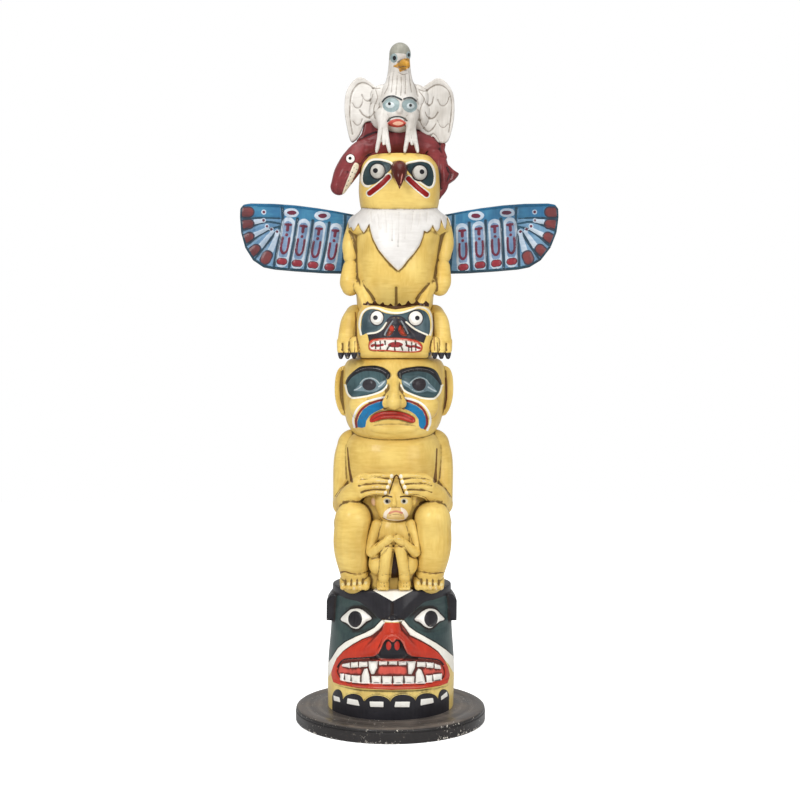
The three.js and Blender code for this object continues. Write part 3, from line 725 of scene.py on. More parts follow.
def bear():
    forms = [
        column(
            [(30, 198, 198, 0), (170, 200, 200, 0), (300, 191, 188, 3), (BLOCK_TOP, 188, 174, 14)]
        ),
        limb([(0, -174, 334, 24), (0, -190, 298, 32), (0, -196, 262, 34)]),
        ball((0, -188, 250), (54, 42, 30)),
    ]
    for side in SIDES:
        ear = [(150, 318), (204, 318), (204, 382), (191, 401), (150, 403)]
        forms += [
            slab(ear, -60, 54, side=side),
            limb([(16, -186, 290, 26), (46, -178, 254, 27), (84, -158, 238, 16)], side),
        ]
    skin = Skin(cast("bear", forms, 3.0, 9), back=-30)
    behind = skin.at[:, 1] > skin.back

    brow = skin.region([
        (-187, 392), (-161, 385), (-136, 376), (-106, 368), (-85, 354), (-62, 334), (-43, 317),
        (-27, 311), (0, 307), (31, 311), (47, 317), (66, 334), (88, 354), (108, 368), (138, 376),
        (164, 385), (189, 392), (222, 411), (222, 461), (0, 468), (-223, 461), (-222, 411),
    ])
    ledge = skin.band(412, 500)
    brow = np.where(behind, ledge, brow)
    peak = skin.region(
        [(-60, 403), (2, 368), (67, 403), (51, 420), (0, 427), (-44, 420)], rounded=False
    )
    peak = np.where(skin.at[:, 1] > -110, -FAR, peak)
    beside = (np.abs(skin.at[:, 0]) > 178) & (np.abs(skin.at[:, 1]) < 66)
    ears = np.where(beside, skin.band(314, 410), -FAR)
    left_top = [(-55, 284), (-84, 268), (-115, 255), (-147, 239), (-169, 220), (-191, 185)]
    right_top = [(56, 287), (78, 271), (110, 254), (142, 236), (174, 214), (198, 193)]
    left_foot = [
        (-189, 147), (-184, 163), (-173, 188), (-153, 211), (-125, 231), (-93, 249), (-62, 261),
        (-38, 279), (-21, 301),
    ]
    right_foot = [(168, 185), (149, 209), (123, 228), (91, 246), (59, 261), (45, 281), (30, 300)]
    socket = skin.region(
        [(-223, 468), (222, 468), (225, 169)] + right_top[::-1] + [(41, 306), (3, 331), (-34, 308)]
        + left_top + [(-219, 150)],
        rounded=False,
    )
    socket = np.where(behind, skin.band(190, 500), socket)
    stripes = union(
        skin.region(
            [(-30, 311)] + left_top + [(-210, 157), (-209, 106)] + left_foot, rounded=False
        ),
        skin.region(
            [(38, 309)] + right_top + [(219, 169), (219, 119), (195, 147), (184, 166)]
            + right_foot,
            rounded=False,
        ),
        skin.line([(-27, 307), (3, 305), (33, 307)], 2.6),
    )
    stripes = np.where(behind, skin.band(150, 190), stripes)
    under_mouth = [
        (-190, 134), (-184, 112), (-161, 103), (-98, 92), (4, 87), (93, 90), (156, 100),
        (181, 109), (187, 134), (181, 160),
    ]
    red = skin.region(left_foot[::-1] + under_mouth + right_foot, rounded=False)
    mouth = skin.region([
        (-168, 160), (-159, 174), (-143, 182), (-99, 185), (-48, 187), (3, 185), (54, 187),
        (107, 185), (149, 179), (165, 165), (171, 144), (165, 122), (131, 114), (77, 109),
        (4, 108), (-66, 109), (-130, 115), (-158, 122), (-171, 141),
    ])
    upper_lip = skin.lines(
        2.6,
        [(-170, 160), (-159, 177), (-143, 185), (-99, 188), (-42, 192)],
        [(47, 192), (107, 188), (149, 182), (166, 168)],
    )
    lower_lip = skin.region([
        (-187, 128), (-174, 115), (-130, 108), (-66, 103), (4, 101), (77, 103), (131, 108),
        (175, 119), (187, 128), (185, 106), (156, 96), (93, 87), (4, 84), (-98, 88), (-161, 100),
        (-184, 109),
    ])
    muzzle = skin.region([
        (-11, 277), (-62, 255), (-125, 223), (-162, 192), (-172, 169), (-143, 190), (-48, 196),
        (3, 192), (53, 196), (149, 188), (174, 166), (161, 192), (129, 220), (65, 254), (21, 277),
    ])
    nostrils = skin.region([
        (-69, 190), (-53, 195), (-40, 204), (-33, 218), (-26, 236), (-18, 246), (-9, 248),
        (1, 239), (7, 239), (15, 248), (26, 246), (36, 234), (43, 217), (51, 203), (65, 194),
        (85, 189), (85, 183), (-69, 183),
    ], rounded=False)
    nostril_reds = skin.discs(((-9, 228), 8.3, 14.6), ((18, 228), 8.6, 14.9))
    arch = skin.line(
        [
            (-45, 200), (-33, 220), (-23, 246), (-11, 258), (15, 260), (34, 246), (44, 220),
            (57, 200),
        ],
        4.8,
    )
    uppers = [
        [(-157, 163), (-154, 169), (-132, 173), (-130, 157)],
        [(-128, 174), (-106, 176), (-105, 159), (-128, 158)],
        [(-102, 176), (-76, 177), (-74, 161), (-102, 159)],
        [(-72, 178), (-43, 178), (-44, 157), (-54, 137), (-63, 137), (-71, 157)],
        [(-39, 178), (-12, 178), (-13, 167), (-39, 166)],
        [(-8, 178), (19, 178), (19, 167), (-8, 167)],
        [(23, 178), (49, 178), (48, 166), (24, 166)],
        [(51, 178), (78, 178), (75, 157), (65, 137), (55, 137), (53, 157)],
        [(82, 176), (109, 176), (109, 160), (82, 160)],
        [(112, 175), (135, 173), (134, 157), (113, 158)],
        [(138, 171), (156, 164), (159, 154), (138, 155)],
    ]
    lowers = [
        [(-162, 139), (-149, 138), (-148, 115), (-161, 119)],
        [(-146, 137), (-128, 134), (-127, 112), (-146, 115)],
        [(-126, 134), (-98, 132), (-97, 109), (-125, 111)],
        [(-95, 108), (-93, 134), (-85, 154), (-75, 155), (-69, 134), (-65, 108)],
        [(-62, 131), (-32, 131), (-31, 107), (-62, 108)],
        [(-28, 131), (3, 131), (3, 106), (-28, 106)],
        [(7, 131), (39, 131), (39, 106), (7, 106)],
        [(42, 131), (74, 131), (74, 108), (43, 107)],
        [(77, 108), (78, 141), (86, 155), (95, 152), (104, 131), (110, 108)],
        [(111, 133), (131, 134), (132, 112), (112, 111)],
        [(133, 136), (162, 139), (161, 119), (134, 114)],
    ]
    teeth = skin.regions(*uppers + lowers, rounded=False) + 0.9
    eyes = skin.regions(
        [
            (-162, 311), (-145, 331), (-129, 343), (-110, 346), (-94, 342), (-78, 330),
            (-64, 314), (-81, 303), (-97, 288), (-109, 281), (-125, 284), (-141, 298),
        ],
        [
            (73, 311), (90, 331), (106, 342), (122, 346), (141, 341), (154, 328), (168, 312),
            (151, 304), (135, 290), (122, 283), (106, 288), (90, 301),
        ],
    )
    pupils = skin.discs(((-116, 312), 22.2, 26), ((125, 313), 21.6, 26))
    pupils = np.minimum(pupils, eyes)
    band = skin.region([
        (-185, -72), (-186, 65), (-153, 57), (-86, 52), (-2, 49), (79, 52), (150, 60), (185, 68),
        (187, -72),
    ], rounded=False)
    arches = [
        ((-169, 61), 17.1, 28.6), ((-120, 50), 33.7, 25.4), ((-43, 44), 42.2, 25.4),
        ((39, 46), 41.3, 26.7), ((115, 52), 36.5, 25.4), ((168, 63), 17.8, 27),
    ]
    scallops = union(band, skin.discs(*arches))
    blanks = [
        [(-182, 69), (-164, 63), (-161, 49), (-180, 54)],
        [(-137, 60), (-105, 54), (-100, 37), (-139, 44)],
        [(-67, 50), (-24, 49), (-24, 33), (-65, 34)], [(15, 49), (60, 49), (58, 33), (12, 33)],
        [(96, 57), (133, 61), (136, 47), (95, 38)], [(160, 66), (178, 81), (180, 68), (160, 55)],
    ]
    blanks = skin.regions(*blanks, rounded=False) + 0.6

    # A black line just outside the stripes, in the green, is painted shadow where the stripes
    # stand up.
    outlines = np.where(behind, -FAR, outlined(stripes, 1.6, 1.5))
    outlines = np.minimum(outlines, socket + 1)
    parting = skin.line([(1, 360), (1, 309)], 2)
    orbits = skin.discs(((-113, 312), 62, 44), ((122, 312), 62, 44))
    depth = 11 * pillow(brow, 30) * raised(brow, 4) - 5 * ridge(parting, 5)
    depth -= 7 * raised(without(socket, brow, eyes - 4), 10) * ease(orbits, -14, 6)
    depth += 6 * raised(eyes, 4) * (0.6 + 0.4 * pillow(eyes, 24)) + 2.5 * pillow(pupils, 8)
    depth += 2.5 * raised(stripes, 4) - 2.2 * ridge(stripes, 2.6)
    depth += 8 * pillow(muzzle, 30)
    depth -= 11 * raised(mouth, 5)
    depth += 11 * pillow(teeth, 8) * raised(teeth, 3.4)
    depth += 9 * pillow(lower_lip, 14)
    depth -= 3 * raised(upper_lip, 3)
    depth -= 7 * raised(nostrils, 4) - 3.5 * pillow(nostril_reds, 6) - 5 * raised(arch, 5)
    depth += 2.5 * raised(scallops, 4) + 1.5 * raised(blanks, 3)
    depth[behind] = 8 * pillow(ledge, 14)[behind]
    skin.carve(depth)

    skin.coat(
        green=without(socket, stripes),
        white=union(stripes, peak),
        red=red,
        # The black coat also holds the stripes' painted shadow lines.
        black=union(without(brow, peak), ears, scallops, upper_lip, nostrils, outlines),
        rims=eyes + 3.4,
        mouth=mouth,
        whites=union(eyes, teeth - 0.4, blanks),
        pupils=pupils,
        nostril_reds=nostril_reds,
    )
    return skin, painted(
        "bear paint",
        ("f0d784", "d9ba66"),
        [
            ("green", "40524f", "2f3d40"),
            ("red", "c93e28", "b03222"),
            ("white", "f6f3ea", "e9e4d6"),
            ("black", "2b2a2f", "1f1e22"),
            ("mouth", "dc6152", "c04a40"),
            ("rims", "222226", "19191c"),
            ("whites", "f8f6f0", "ece8de"),
            ("pupils", "312f33", "1b1a1d"),
            ("nostril_reds", "c4392d", "a82c24"),
        ],
        wash="241a17",
        chipped=0.14,
    )


# ---- The seated man ---------------------------------------------------------------------------

TOES_NEARER = 1.043  # how much wider the toes are on the stencil than they are made


def seated_man():
    forms = [
        column([
            (BLOCK_TOP - 6, 150, 142, 8), (520, 156, 138, 14), (640, 160, 136, 14),
            (780, 158, 152, 4), (870, 154, 144, 4), (CHIN + 12, 120, 112, 6),
        ], square=2.3),
    ]
    for side in SIDES:
        forms += [
            limb([(126, -4, 864, 52), (143, -16, 810, 46), (148, -44, 690, 40)], side),
            limb([(150, -64, 684, 38), (136, -118, 712, 34), (100, -156, 742, 29)], side),
            ball((side * 88, -162, 752), (42, 24, 36), (0, side * 12, 0)),
            fingers(side),
            limb([(112, 30, 560, 66), (122, -70, 620, 62), (122, -132, 640, 56)], side),
            limb([(122, -134, 644, 56), (128, -138, 560, 53), (117, -120, 480, 44)], side),
            foot(side),
        ]
    skin = Skin(cast("seated_man", forms, 2.9, 3), back=0)
    # Wedges at the torso's sides, cut in and painted brown as painted shade in the creases.
    wedges = skin.regions(
        [
            (-147, 855), (-144, 855), (-141, 830), (-135, 785), (-127, 749), (-135, 749),
            (-142, 785), (-146, 830),
        ],
        [
            (136, 852), (140, 852), (140, 830), (139, 785), (138, 748), (127, 749), (132, 785),
            (135, 830),
        ],
    )
    creases = union(
        skin.lines(
            2,
            [(-179, 700), (-162, 725), (-137, 750)],
            [(181, 700), (165, 725), (143, 746), (130, 754)],
            [(-155, 685), (-136, 690), (-114, 685), (-95, 677)],
            [(153, 687), (131, 690), (108, 685), (89, 679)],
        ),
        skin.lines(
            2.5,
            [(-165, 457), (-150, 462), (-127, 456), (-102, 456), (-73, 465)],
            [(76, 466), (101, 461), (130, 457), (158, 460)],
        ),
        skin.line([(-102, 765), (-73, 768), (-42, 768)], 1.5),
    )
    gaps = union(
        skin.lines(
            1.4,
            [(-102, 755), (-73, 761), (-42, 762), (-16, 758)],
            [(35, 757), (60, 762), (92, 759), (117, 754)],
        ),
        skin.lines(
            1.6,
            [(-108, 735), (-83, 741), (-51, 744), (-21, 741)],
            [(41, 740), (66, 744), (98, 742), (121, 736)],
        ),
        skin.lines(
            1.7,
            [(-101, 715), (-79, 721), (-54, 724), (-27, 722)],
            [(48, 722), (73, 724), (102, 721), (121, 715)],
        ),
        skin.lines(
            1.8,
            [(-98, 690), (-85, 701), (-60, 707), (-32, 705)],
            [(54, 706), (76, 707), (99, 700), (112, 689)],
        ),
    )
    # Painted shade in the V where the fingertips end.
    tips = skin.lines(
        2.2,
        [(11, 769), (4, 763), (-1, 747), (-7, 729), (-13, 707)],
        [(11, 769), (17, 763), (21, 745), (28, 728), (34, 711)],
    )
    nails = [
        (-5, 766), (-11, 748), (-17, 731), (-24, 712), (24, 765), (29, 748), (37, 731), (43, 712),
    ]
    nails = skin.discs(*[(nail, 5.7, 6.7) for nail in nails])
    toes = [(side, side * toe_across(i) * TOES_NEARER, i) for side in SIDES for i in range(5)]
    toe_nails = skin.discs(*[((x, 427 - 1.2 * i), 5.2, 5.4) for side, x, i in toes])
    toe_gaps = [x + side * 9.2 for side, x, i in toes if i < 4]
    toe_gaps = skin.lines(0.7, *[[(x, 440), (x, 410)] for x in toe_gaps])
    toe_nails = np.where(skin.at[:, 1] < -120, toe_nails, -FAR)
    nails = np.where(skin.at[:, 1] < -160, nails, -FAR)
    # Painted shade in the creases above the ankles.
    ankle_shade = skin.lines(
        1.2,
        [(-172, 460), (-150, 463), (-127, 457), (-102, 456), (-73, 466)],
        [(73, 467), (101, 461), (130, 458), (162, 460)],
    )
    depth = -3.5 * ridge(creases, 4.5) - 3.4 * ridge(gaps, 3.4) + pillow(nails, 5)
    depth -= 4 * raised(wedges, 3)
    depth -= 2 * ridge(toe_gaps, 3) - 1.2 * pillow(toe_nails, 5)
    skin.carve(depth)
    # lines is painted shade: brown in the creases, wedges, finger gaps and ankles; tips is painted
    # shade at the fingertips.
    skin.coat(
        lines=union(gaps - 0.7, creases - 1.1, ankle_shade, wedges),
        tips=tips,
        nails=nails,
        toe_nails=toe_nails,
    )
    return skin, painted(
        "seated man paint",
        YELLOW,
        [
            ("lines", "86632f", "5c3b1c"),
            ("tips", "5a3a1e", "3c2514"),
            ("nails", "f3ecdc", "e0d4b8"),
            ("toe_nails", "eedfa8", "dcc98c"),
        ],
        haze=0.12,
        waver=2,
    )


def toe_across(i):
    """How far out the middle of a toe is, counted from the big toe."""
    return 80 + 17.5 * i


def fingers(side):
    """Four fingers that meet those of the other hand over the child's brow."""
    tips = (-6, -12, -17, -24) if side < 0 else (24, 28, 35, 42)
    return [
        limb([(side * 96, -168, z - 10, 11), (side * 62, -184, z - 2, 9.5), (tip, -194, z, 8)])
        for tip, z in zip(tips, (781, 765, 749, 732))
    ]


def foot(side):
    """A domed foot that ends in a row of five toes."""
    forms = [ball((side * 114, -104, BLOCK_TOP + 20), (48, 58, 38))]
    for i in range(5):
        across = side * toe_across(i)
        size = (12, 10.5, 10, 9.5, 9)[i]
        tip = (-170, -172, -171, -167, -160)[i] + size
        forms.append(
            limb([(across, -118, 456, size + 3), (across, tip, BLOCK_TOP + 1 + size, size)])
        )
    return forms


# ---- The child --------------------------------------------------------------------------------


def child():
    y = -142
    forms = [
        ball((3, y - 4, 700), (58, 46, 70)),
        ball((3, y - 14, 672), (50, 38, 34)),
        ball((3, y + 6, 600), (58, 38, 62)),
        ball((3, y + 16, 520), (60, 32, 58)),
        limb([(3, y - 44, 722, 5), (3, y - 54, 697, 8)]),
    ]
    for side in SIDES:
        x = 3 + side * 60
        forms += [
            ball((x, y + 4, 706), (11, 13, 22)),
            limb([
                (3 + side * 52, y - 8, 630, 16), (3 + side * 66, y - 12, 580, 16),
                (3 + side * 68, y - 20, 548, 16),
            ]),
            limb([
                (3 + side * 66, y - 26, 546, 15), (3 + side * 38, y - 46, 572, 13),
                (3 + side * 12, y - 54, 592, 13),
            ]),
            limb([
                (3 + side * 20, y - 36, 562, 18), (5 + side * 26, y - 34, 520, 17),
                (6 + side * 32, y - 18, 468, 17),
            ]),
            ball((3 + side * 52, y - 6, 512), (24, 30, 36)),
        ]
        for toe in range(4):
            across = 5 + side * (21 + 8 * toe)
            forms.append(limb([(across, y - 4, 448, 8), (across, y - 32 + 2 * toe, 437, 6)]))
        forms.append(ball((5 + side * 33, y - 2, 446), (20, 28, 22)))
    skin = Skin(cast("child", forms, 2.1, 3))
    ears = skin.discs(((-63, 681), 6.3, 15.2), ((80, 684), 6.3, 15.2))
    brows = skin.lines(
        2.4, [(-33, 699), (-22, 703), (-4, 700)], [(24, 700), (38, 702), (56, 700)]
    )
    orbits = skin.discs(((-19, 686), 11.4, 9.5), ((36, 686), 11.4, 9.5))
    pupils = skin.discs(((-19, 686), 5.7), ((35, 686), 5.7))
    muzzle = skin.disc((9, 647), 34.9, 19)
    whiskers = union(
        skin.regions(
            [(-30, 635), (-28, 650), (-17, 661), (-5, 666), (-10, 655), (-18, 644), (-21, 631)],
            [(25, 666), (38, 661), (47, 649), (48, 636), (39, 630), (35, 645), (27, 655)],
        ),
        skin.line([(-21, 630), (-5, 627), (11, 626), (30, 627), (42, 631)], 1.3),
    )
    mouth = skin.line([(-11, 648), (1, 653), (13, 654), (29, 649)], 3)
    # Painted shade in the V where the man's fingertips end over the brow.
    fingertip_shade = skin.lines(
        2,
        [(10, 771), (4, 763), (-1, 747), (-7, 729), (-12, 711)],
        [(11, 771), (17, 763), (21, 745), (28, 728), (34, 712)],
    )
    lip = skin.line([(-11, 641), (1, 644), (14, 644), (28, 642)], 0.8)
    # Folds, cut in and painted brown as painted shade, the first under the chin.
    folds = union(
        skin.lines(
            2,
            [(-32, 634), (-12, 625), (11, 623), (33, 625), (53, 634)],
            [(-20, 543), (-1, 541), (18, 542), (38, 544)],
        ),
        skin.lines(
            1.8,
            [(-54, 544), (-43, 558), (-28, 568)], [(65, 547), (60, 566), (55, 581)],
            [(-67, 500), (-45, 508), (-26, 523), (-14, 539)],
            [(82, 503), (59, 511), (48, 528), (39, 542)],
        ),
        skin.lines(1.6, [(-30, 452), (-16, 454), (-3, 451)], [(20, 451), (35, 453), (51, 451)]),
        skin.line([(11, 580), (12, 547)], 1.2),
        skin.lines(
            1,
            [(-9, 558), (10, 563)], [(14, 563), (35, 560)], [(-8, 569), (10, 573)],
            [(14, 573), (32, 571)],
        ),
    )
    toes = skin.lines(0.8, *[[(x, 432), (x, 412)] for x in (-43, -34, -25, 28, 37, 46)])
    depth = 1.5 * pillow(brows, 4) - 2.2 * raised(orbits, 4) + 2 * pillow(pupils, 5)
    depth += 4 * pillow(muzzle, 20) - 1.6 * ridge(lip, 2.5) - 3 * ridge(folds, 3.5)
    depth -= 1.5 * ridge(toes, 2) - whiskers.clip(0, 1)
    skin.carve(depth)
    skin.coat(
        muzzle=muzzle,
        ears=ears,
        orbits=orbits,
        whiskers=whiskers,
        mouth=mouth,
        # lines is painted shade in the folds and under the lip.
        lines=union(folds - 0.9, lip),
        # brows also holds the fingertips' painted shade.
        brows=union(brows, fingertip_shade),
        pupils=pupils,
        # dark is painted shade in the gap between the legs.
        dark=np.minimum(skin.region([(7, 525), (15, 493), (21, 442), (-2, 436), (1, 490)]), 12),
    )
    return skin, painted(
        "child paint",
        YELLOW,
        [
            ("dark", "3c2414", "2a180d"),
            ("ears", "ecc9a4", "dcae84"),
            ("muzzle", "e6c98c", "d6b472"),
            ("orbits", "e8dfc6", "cfc3a2"),
            ("whiskers", "f6ecdd", "e6d6c2"),
            ("mouth", "d38f72", "bd755c"),
            ("lines", "8c6836", "664220"),
            ("brows", "4f3420", "352214"),
            ("pupils", "221f20", "18161a"),
        ],
        haze=0.1,
    )


# ---- The man's head ---------------------------------------------------------------------------


def man_head():
    forms = [
        column([
            (CHIN - 17, 92, 118, -16), (CHIN - 4, 122, 148, -14), (936, 147, 160, -12),
            (990, 157, 163, -12), (1050, 161, 167, -10), (1100, 160, 165, -8),
            (1130, 150, 157, -4), (CROWN, 128, 140, 0),
        ], square=2.3),
        limb(
            [(0, -160, 1096, 10), (0, -179, 1052, 13), (0, -190, 1024, 17), (0, -200, 1003, 22)]
        ),
        ball((0, -148, 922), (74, 32, 20)),
    ]
    for side in SIDES:
        forms += [
            limb([(9, -176, 1036, 9), (20, -184, 1012, 13), (25, -188, 1000, 14)], side),
            ball((side * 84, -118, 992), (56, 46, 48)),
        ]
        ear = [(150, 1100), (171, 1111), (185, 1080), (186, 1020), (173, 975), (154, 967)]
        forms.append(slab(ear, -33, 29, rounded=True, side=side))
    skin = Skin(cast("man_head", forms, 2.7, 6), back=-20)
    brows = skin.regions(
        [
            (-153, 1065), (-144, 1082), (-128, 1098), (-109, 1111), (-84, 1115), (-58, 1115),
            (-36, 1109), (-20, 1098), (-13, 1087), (-20, 1074), (-25, 1079), (-31, 1088),
            (-45, 1096), (-71, 1101), (-99, 1100), (-125, 1088), (-142, 1073), (-151, 1058),
        ],
        [
            (14, 1081), (12, 1093), (21, 1103), (43, 1109), (75, 1113), (104, 1111), (126, 1103),
            (139, 1088), (150, 1061), (147, 1057), (139, 1068), (123, 1085), (104, 1096),
            (75, 1100), (44, 1096), (25, 1088), (22, 1074),
        ],
    )
    sockets = skin.regions(
        [
            (-151, 1060), (-150, 1046), (-145, 1030), (-138, 1021), (-130, 1017), (-108, 1019),
            (-76, 1025), (-45, 1036), (-29, 1049), (-23, 1063), (-26, 1079), (-33, 1088),
            (-45, 1096), (-71, 1101), (-99, 1100), (-125, 1088), (-142, 1073),
        ],
        [
            (23, 1074), (25, 1055), (35, 1039), (60, 1027), (89, 1017), (114, 1014), (130, 1017),
            (143, 1033), (148, 1055), (139, 1069), (123, 1085), (104, 1096), (75, 1100),
            (44, 1096), (26, 1088),
        ],
    )
    brows = brows + 1.6
    masks = union(brows, sockets)
    almonds = skin.regions(
        [
            (-129, 1037), (-118, 1048), (-107, 1060), (-96, 1072), (-78, 1080), (-61, 1074),
            (-49, 1063), (-37, 1067), (-25, 1072), (-28, 1057), (-42, 1046), (-57, 1036),
            (-78, 1032), (-99, 1036), (-113, 1036),
        ],
        [
            (23, 1070), (36, 1068), (49, 1062), (58, 1072), (78, 1083), (98, 1076), (110, 1064),
            (122, 1051), (136, 1035), (122, 1032), (106, 1036), (92, 1032), (79, 1030),
            (60, 1035), (46, 1046), (31, 1055),
        ],
    )
    brow_shine = skin.lines(
        1.1,
        [(-122, 1097), (-99, 1107), (-71, 1109), (-45, 1104), (-26, 1093)],
        [(25, 1095), (47, 1103), (78, 1107), (107, 1103), (126, 1093)],
    )
    halo = np.where(skin.z > 1058, -FAR, outlined(masks, 2.9, 2.9))
    balls = skin.discs(((-79, 1057), 29.2, 23.5), ((79, 1058), 29.2, 25.4))
    pupils = skin.discs(((-79, 1056), 22.2, 18.1), ((79, 1058), 22.2, 21.3))
    lids = skin.lines(
        1.6,
        [(-108, 1060), (-96, 1073), (-77, 1077), (-58, 1071), (-46, 1058)],
        [(50, 1060), (63, 1073), (82, 1078), (101, 1072), (112, 1058)],
    )
    gleams = union(
        skin.line([(-104, 1051), (-115, 1043), (-126, 1039)], 1.8),
        skin.lines(
            2.2, [(-49, 1050), (-40, 1056), (-30, 1067)], [(108, 1049), (120, 1041), (133, 1035)]
        ),
        skin.line([(50, 1054), (41, 1060), (31, 1066)], 1.7),
        skin.line([(57, 1041), (68, 1035), (81, 1034), (95, 1038)], 1),
    )
    blues = skin.regions(
        [
            (-30, 1006), (-55, 1000), (-80, 990), (-99, 976), (-110, 957), (-116, 939),
            (-115, 921), (-101, 919), (-90, 922), (-87, 942), (-77, 957), (-60, 969), (-41, 978),
            (-30, 984),
        ],
        [
            (24, 1004), (51, 999), (74, 988), (91, 974), (101, 954), (103, 931), (98, 915),
            (86, 917), (80, 927), (78, 947), (67, 962), (50, 973), (30, 980), (24, 990),
        ],
        rounded=False,
    )
    dark_reds = skin.lines(
        3.7,
        [
            (-32, 1009), (-57, 1003), (-82, 993), (-101, 979), (-114, 960), (-120, 941),
            (-118, 922),
        ],
        [(25, 1008), (51, 1003), (76, 992), (94, 976), (104, 954), (106, 931), (99, 917)],
    )
    whites = union(
        skin.lines(
            3.2,
            [
                (-25, 1017), (-57, 1011), (-89, 1001), (-111, 985), (-123, 966), (-129, 944),
                (-125, 922),
            ],
            [(32, 1014), (57, 1009), (83, 999), (102, 982), (114, 960), (116, 934), (107, 912)],
        ),
        skin.line([(-88, 968), (-95, 954), (-96, 933)], 2.2),
    )
    nose = skin.region([
        (-15, 1077), (-16, 1046), (-22, 1027), (-33, 1011), (-37, 996), (-30, 982), (-14, 976),
        (2, 974), (18, 976), (34, 982), (40, 996), (36, 1011), (24, 1027), (18, 1046), (17, 1077),
    ])
    blues, dark_reds, whites = [without(mask, nose) for mask in (blues, dark_reds, whites)]
    lips = skin.region([
        (-77, 941), (-72, 954), (-57, 965), (-38, 971), (-19, 973), (0, 973), (26, 969),
        (48, 961), (64, 952), (69, 941), (61, 935), (45, 938), (20, 945), (-9, 948), (-37, 946),
        (-59, 939), (-71, 936),
    ])
    parting = skin.line([(-69, 944), (-44, 957), (-9, 961), (26, 959), (59, 945)], 1.5)
    folds = skin.lines(
        2,
        [(-22, 1018), (-34, 1006), (-35, 994), (-29, 983)],
        [(21, 1018), (35, 1006), (37, 994), (31, 983)], [(-34, 1071), (-23, 1058), (-26, 1036)],
        [(24, 1071), (21, 1055), (25, 1033)],
    )
    ear_line = skin.lines(
        2,
        [(-164, 1096), (-169, 1055), (-167, 1014), (-158, 982)],
        [(161, 1096), (165, 1055), (164, 1014), (158, 982)],
    )
    inner_ear = skin.line([(163, 1077), (167, 1023), (162, 982)], 2.4)

    depth = 5 * pillow(brows, 9) * raised(brows, 4)
    depth -= 8 * pillow(np.where(sockets > -2, sockets + 2, 0), 26)
    depth += 9 * pillow(balls, 22) + 1.6 * raised(pupils, 3) + 1.2 * raised(lids, 3)
    depth += 1.6 * raised(blues, 4) + 1.2 * raised(whites, 3)
    depth += 8 * pillow(lips, 12) * raised(lips, 4) - 3.5 * ridge(parting, 3)
    depth -= 2.6 * ridge(folds, 4) + 3 * ridge(ear_line, 4)
    skin.carve(depth)
    skin.clean = masks
    skin.coat(
        halo=halo,
        green=sockets,
        almonds=almonds,
        black=brows,
        brow_shine=brow_shine,
        gleams=gleams,
        pupils=pupils,
        lids=lids,
        whites=whites,
        blues=blues,
        dark_reds=dark_reds,
        lips=lips,
        parting=union(parting, inner_ear),
    )
    return skin, painted(
        "man head paint",
        YELLOW,
        [
            ("halo", "f7f3e8", "ece4d0"),
            ("whites", "f3f1ec", "e0dfdc"),
            ("blues", "1878ac", "11608e"),
            ("dark_reds", "8d2a2c", "742024"),
            ("green", "4b6468", "2c3f44"),
            ("almonds", "7f939b", "546b73"),
            ("black", "26282b", "191b1d"),
            ("brow_shine", "6f686c", "4d484c"),
            ("gleams", "c3ced0", "9aabb0"),
            ("pupils", "38353a", "242226"),
            ("lids", "b4c0c0", "8b9a9c"),
            ("lips", "b82c22", "94201a"),
            ("parting", "7c2420", "64201c"),
        ],
        chipped=0.12,
    )


# ---- The cub ----------------------------------------------------------------------------------

FRINGE = [
    (-102, 1309), (-100, 1317), (-95, 1313), (-87, 1322), (-81, 1315), (-72, 1314), (-64, 1326),
    (-57, 1315), (-49, 1310), (-38, 1319), (-32, 1310), (-21, 1308), (-14, 1315), (-5, 1306),
    (6, 1306), (13, 1317), (22, 1308), (33, 1311), (42, 1324), (51, 1313), (61, 1314), (68, 1326),
    (78, 1315), (90, 1314), (98, 1323), (109, 1313), (108, 1303), (92, 1305), (73, 1308),
    (48, 1303), (25, 1298), (3, 1295), (-19, 1298), (-41, 1303), (-67, 1307), (-89, 1308),
]


